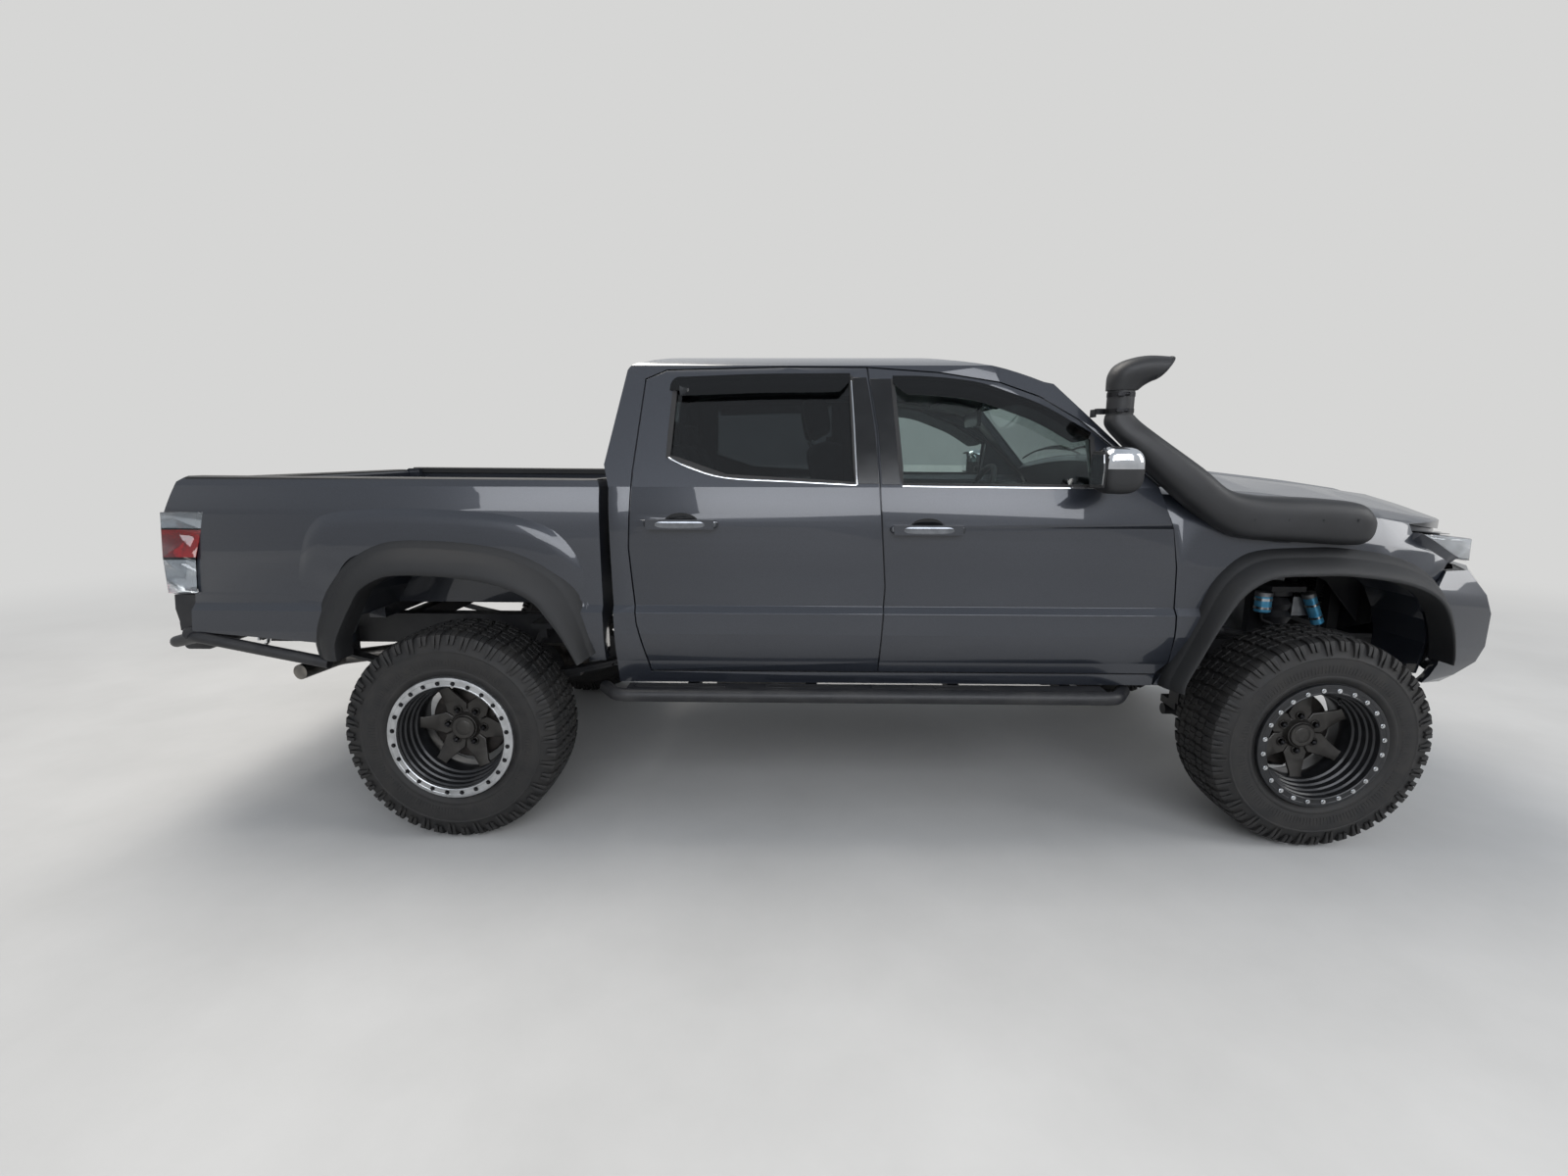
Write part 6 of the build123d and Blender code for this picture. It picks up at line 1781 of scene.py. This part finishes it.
def makeHelm():
    bm = bmesh.new()
    hub, axis, up = (Vector(helmLook[key]) for key in ("hub", "axis", "up"))
    across = Vector((0, 1, 0))
    reach = helmLook["rim"]
    rings = []
    for step, turn in enumerate(around(72)):
        ray = across * cos(turn) + up * sin(turn)
        thick = helmLook["grip"] + (helmLook["thumb"] if 10 <= step % 24 <= 14 else 0)
        rings.append([(hub + ray * (reach + cos(b) * thick) + axis * sin(b) * thick) * 0.001
                      for b in around(14)])
    addRings(bm, rings, 0, closed=True, capped=False)
    for angle, wide in helmLook["spokes"]:
        turn = radians(angle)
        ray = across * cos(turn) + up * sin(turn)
        other = axis.cross(ray)
        spoke = []
        for reach, half, lift in ((48, wide, 6), (90, wide * 0.9, 4), (140, wide * 0.7, 0),
                                  (182, wide * 0.6, -2)):
            spoke.append([(hub + ray * reach + other * a + axis * (lift + b)) * 0.001
                          for a, b in ((-half, -6), (half, -6), (half, 5), (-half, 5))])
        addRings(bm, spoke, 1 if angle != 270 else 2)
    addTurned(bm, hub, axis, [(-22, 4), (-22, 50), (0, 66), (16, 62), (26, 44), (29, 4)], 40, 0)
    addTurned(bm, hub - axis * 150, axis, [(0, 4), (0, 46), (118, 40), (126, 30), (126, 4)], 28, 0)
    for side in (-1, 1):
        lever = hub - axis * 46
        addRod(bm, lever + across * side * 40, lever + across * side * 170 + up * 14, 7, 12, 1, 5)
    wheel = finishPiece(bm, "helm", [trimSoft, smoothBlack, chrome], "body", angle=40)
    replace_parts(wheel, "steering_wheel")


# Materials: 0 soft skin, 1 gloss black, 2 bright trim, 3 carpet, 4 lining, 5 screen.
def makeCabTrim():
    bm = bmesh.new()
    hood = []
    for y in (230, 250, 300, 372, 444, 494, 514):
        dip = 0 if abs(y - 372) < 130 else 18
        hood.append([mm(x, y, z - dip) for x, z in (
            (1080, 1270), (1060, 1312), (980, 1322), (912, 1306), (918, 1290), (985, 1292),
            (1010, 1262))])
    addRings(bm, hood, 0)
    addBlock(bm, 921, 934, 262, 482, 1160, 1262, 1)
    for y in (320, 424):
        addTurned(bm, (921, y, 1212), (-1, 0, 0), [(0, 34), (3, 44), (6, 44), (4, 38), (1, 36)],
                  36, 2)
    addBlock(bm, 904, 934, -110, 128, 1130, 1236, 1)
    addBlock(bm, 902.6, 904.4, -98, 116, 1140, 1228, 5)
    for y in (-640, -200, 190, 640):
        addBlock(bm, 921, 936, y - 52, y + 52, 1158, 1222, 1)
        for k in range(5):
            addBlock(bm, 917, 925, y - 46, y + 46, 1166 + k * 11, 1169 + k * 11, 2)
    for k in range(3):
        addTurned(bm, (940, -60 + k * 70, 1062), (-1, 0, 0.1),
                  [(0, 22), (16, 20), (18, 17), (18, 3)], 28, 1)
    addBlock(bm, 930, 938, -620, -240, 1000, 1110, 0)
    console = [(985, 700), (985, 1010), (930, 1000), (780, 880), (640, 868), (560, 880),
               (430, 905), (250, 905), (236, 880), (240, 700)]
    addPrism(bm, console, "Y", -104, 104, 0)
    addPrism(bm, [(430, 905), (250, 905), (244, 925), (260, 934), (420, 934), (436, 925)], "Y",
             -96, 96, 0)
    addRod(bm, (690, 0, 868), (676, 0, 990), 9, 16, 2, 7)
    addTurned(bm, (676, 0, 982), (-0.1, 0, 1), [(0, 4), (0, 17), (16, 25), (36, 24), (46, 16),
                                                (48, 4)], 28, 0)
    addBlock(bm, -776, 1180, -690, 690, 690.4, 694.4, 3)
    lining = []
    for x, z in ((-700, 1770), (-560, 1790), (-217, 1801), (105, 1798), (416, 1774), (627, 1733),
                 (735, 1694)):
        lining.append([mm(x, y, z + dz) for y, dz in (
            (-560, -14), (-500, -5), (0, 7), (500, -5), (560, -14), (560, -20), (500, -11), (0, 1),
            (-500, -11), (-560, -20))])
    addRings(bm, lining, 4)
    for side in (-1, 1):
        visor = [(740, 1678), (640, 1712), (560, 1722), (560, 1710), (640, 1700), (738, 1664)]
        addPrism(bm, visor, "Y", side * 330 - 180, side * 330 + 180, 4)
        rail = [(700, side * 560, 1688), (300, side * 596, 1744), (-100, side * 602, 1750)]
        addTube(bm, smoothPath(rail, 5), 7, 8, 4)
        belt = [(20, side * 700, 1560), (40, side * 716, 1300), (60, side * 725, 1000),
                (70, side * 728, 760)]
        addTube(bm, smoothPath(belt, 6), 22, 8, 0, 0.08)
    addRod(bm, (716, 0, 1700), (680, 0, 1650), 7, 12, 1)
    addPrism(bm, cutCorners(124, 1592, 1660, 14, 14), "X", 664, 684, 1)
    for y, z in ((300, 800), (400, 780), (470, 770)):
        addPrism(bm, [(1120, z + 60), (1096, z), (1086, z), (1110, z + 62)], "Y", y - 32,
                 y + 32, 1)
    finishPiece(bm, "cabinTrim", [trimSoft, smoothBlack, smokedChrome, carpet, roofLining,
                                  screenDark], "body", 3.0, 2)


# Inner door cards: outline x, z; arm rest from x to x; middle of the speaker
cardLook = {
    "front": {"edge": [(210, 740), (205, 1000), (196, 1310), (900, 1310), (1150, 1290),
                       (1175, 1190), (1190, 1056), (1195, 840), (1150, 740)],
              "arm": (330, 800), "speaker": (980, 830)},
    "rear": {"edge": [(-640, 760), (-690, 850), (-712, 1130), (-706, 1310), (95, 1310),
                      (112, 1000), (96, 740)],
             "arm": (-520, -60), "speaker": (-20, 820)}}


def buildDoorCard(place):
    bm = bmesh.new()
    edge, arm, speaker = (cardLook[place][key] for key in ("edge", "arm", "speaker"))
    addPrism(bm, edge, "Y", -765.6, -756, 0)
    x0, x1 = arm
    rest = []
    for x, out in ((x0 - 40, 756), (x0, 716), (x0 + 60, 700), (x1 - 60, 700), (x1, 716),
                   (x1 + 40, 756)):
        rest.append([mm(x, -y, z) for y, z in (
            (760, 985), (out + 4, 1000), (out, 1020), (out + 3, 1052), (760, 1062))])
    addRings(bm, rest, 0)
    addBlock(bm, x1 - 40, x1 + 60, -757, -744, 1120, 1160, 1)
    addRod(bm, (x1 - 20, -744, 1140), (x1 + 44, -740, 1140), 7, 14, 2)
    addTurned(bm, (speaker[0], -756, speaker[1]), (0, 1, 0), [(0, 3), (0, 78), (7, 76), (9, 70),
                                                             (5, 66), (5, 3)], 40, 1)
    pocket = [(x0 + 30, 780), (x0 + 20, 880), (x1 - 20, 880), (x1 - 30, 780)]
    addPrism(bm, pocket, "Y", -757, -730, 0)
    return bm


def makeDoorCards():
    for place in ("front", "rear"):
        bothSides(lambda: buildDoorCard(place), "doorCard_" + place,
                  [trimSoft, smoothBlack, smokedChrome],
                  ("door_" + place + "_right", "door_" + place + "_left"), angle=35, bevel=2.5)


makeNose()
makeBed()
makeRunningGear()
makeSeats()
makeHelm()
makeCabTrim()
makeDoorCards()
print("scene: nose, bed, running gear and cabin made")
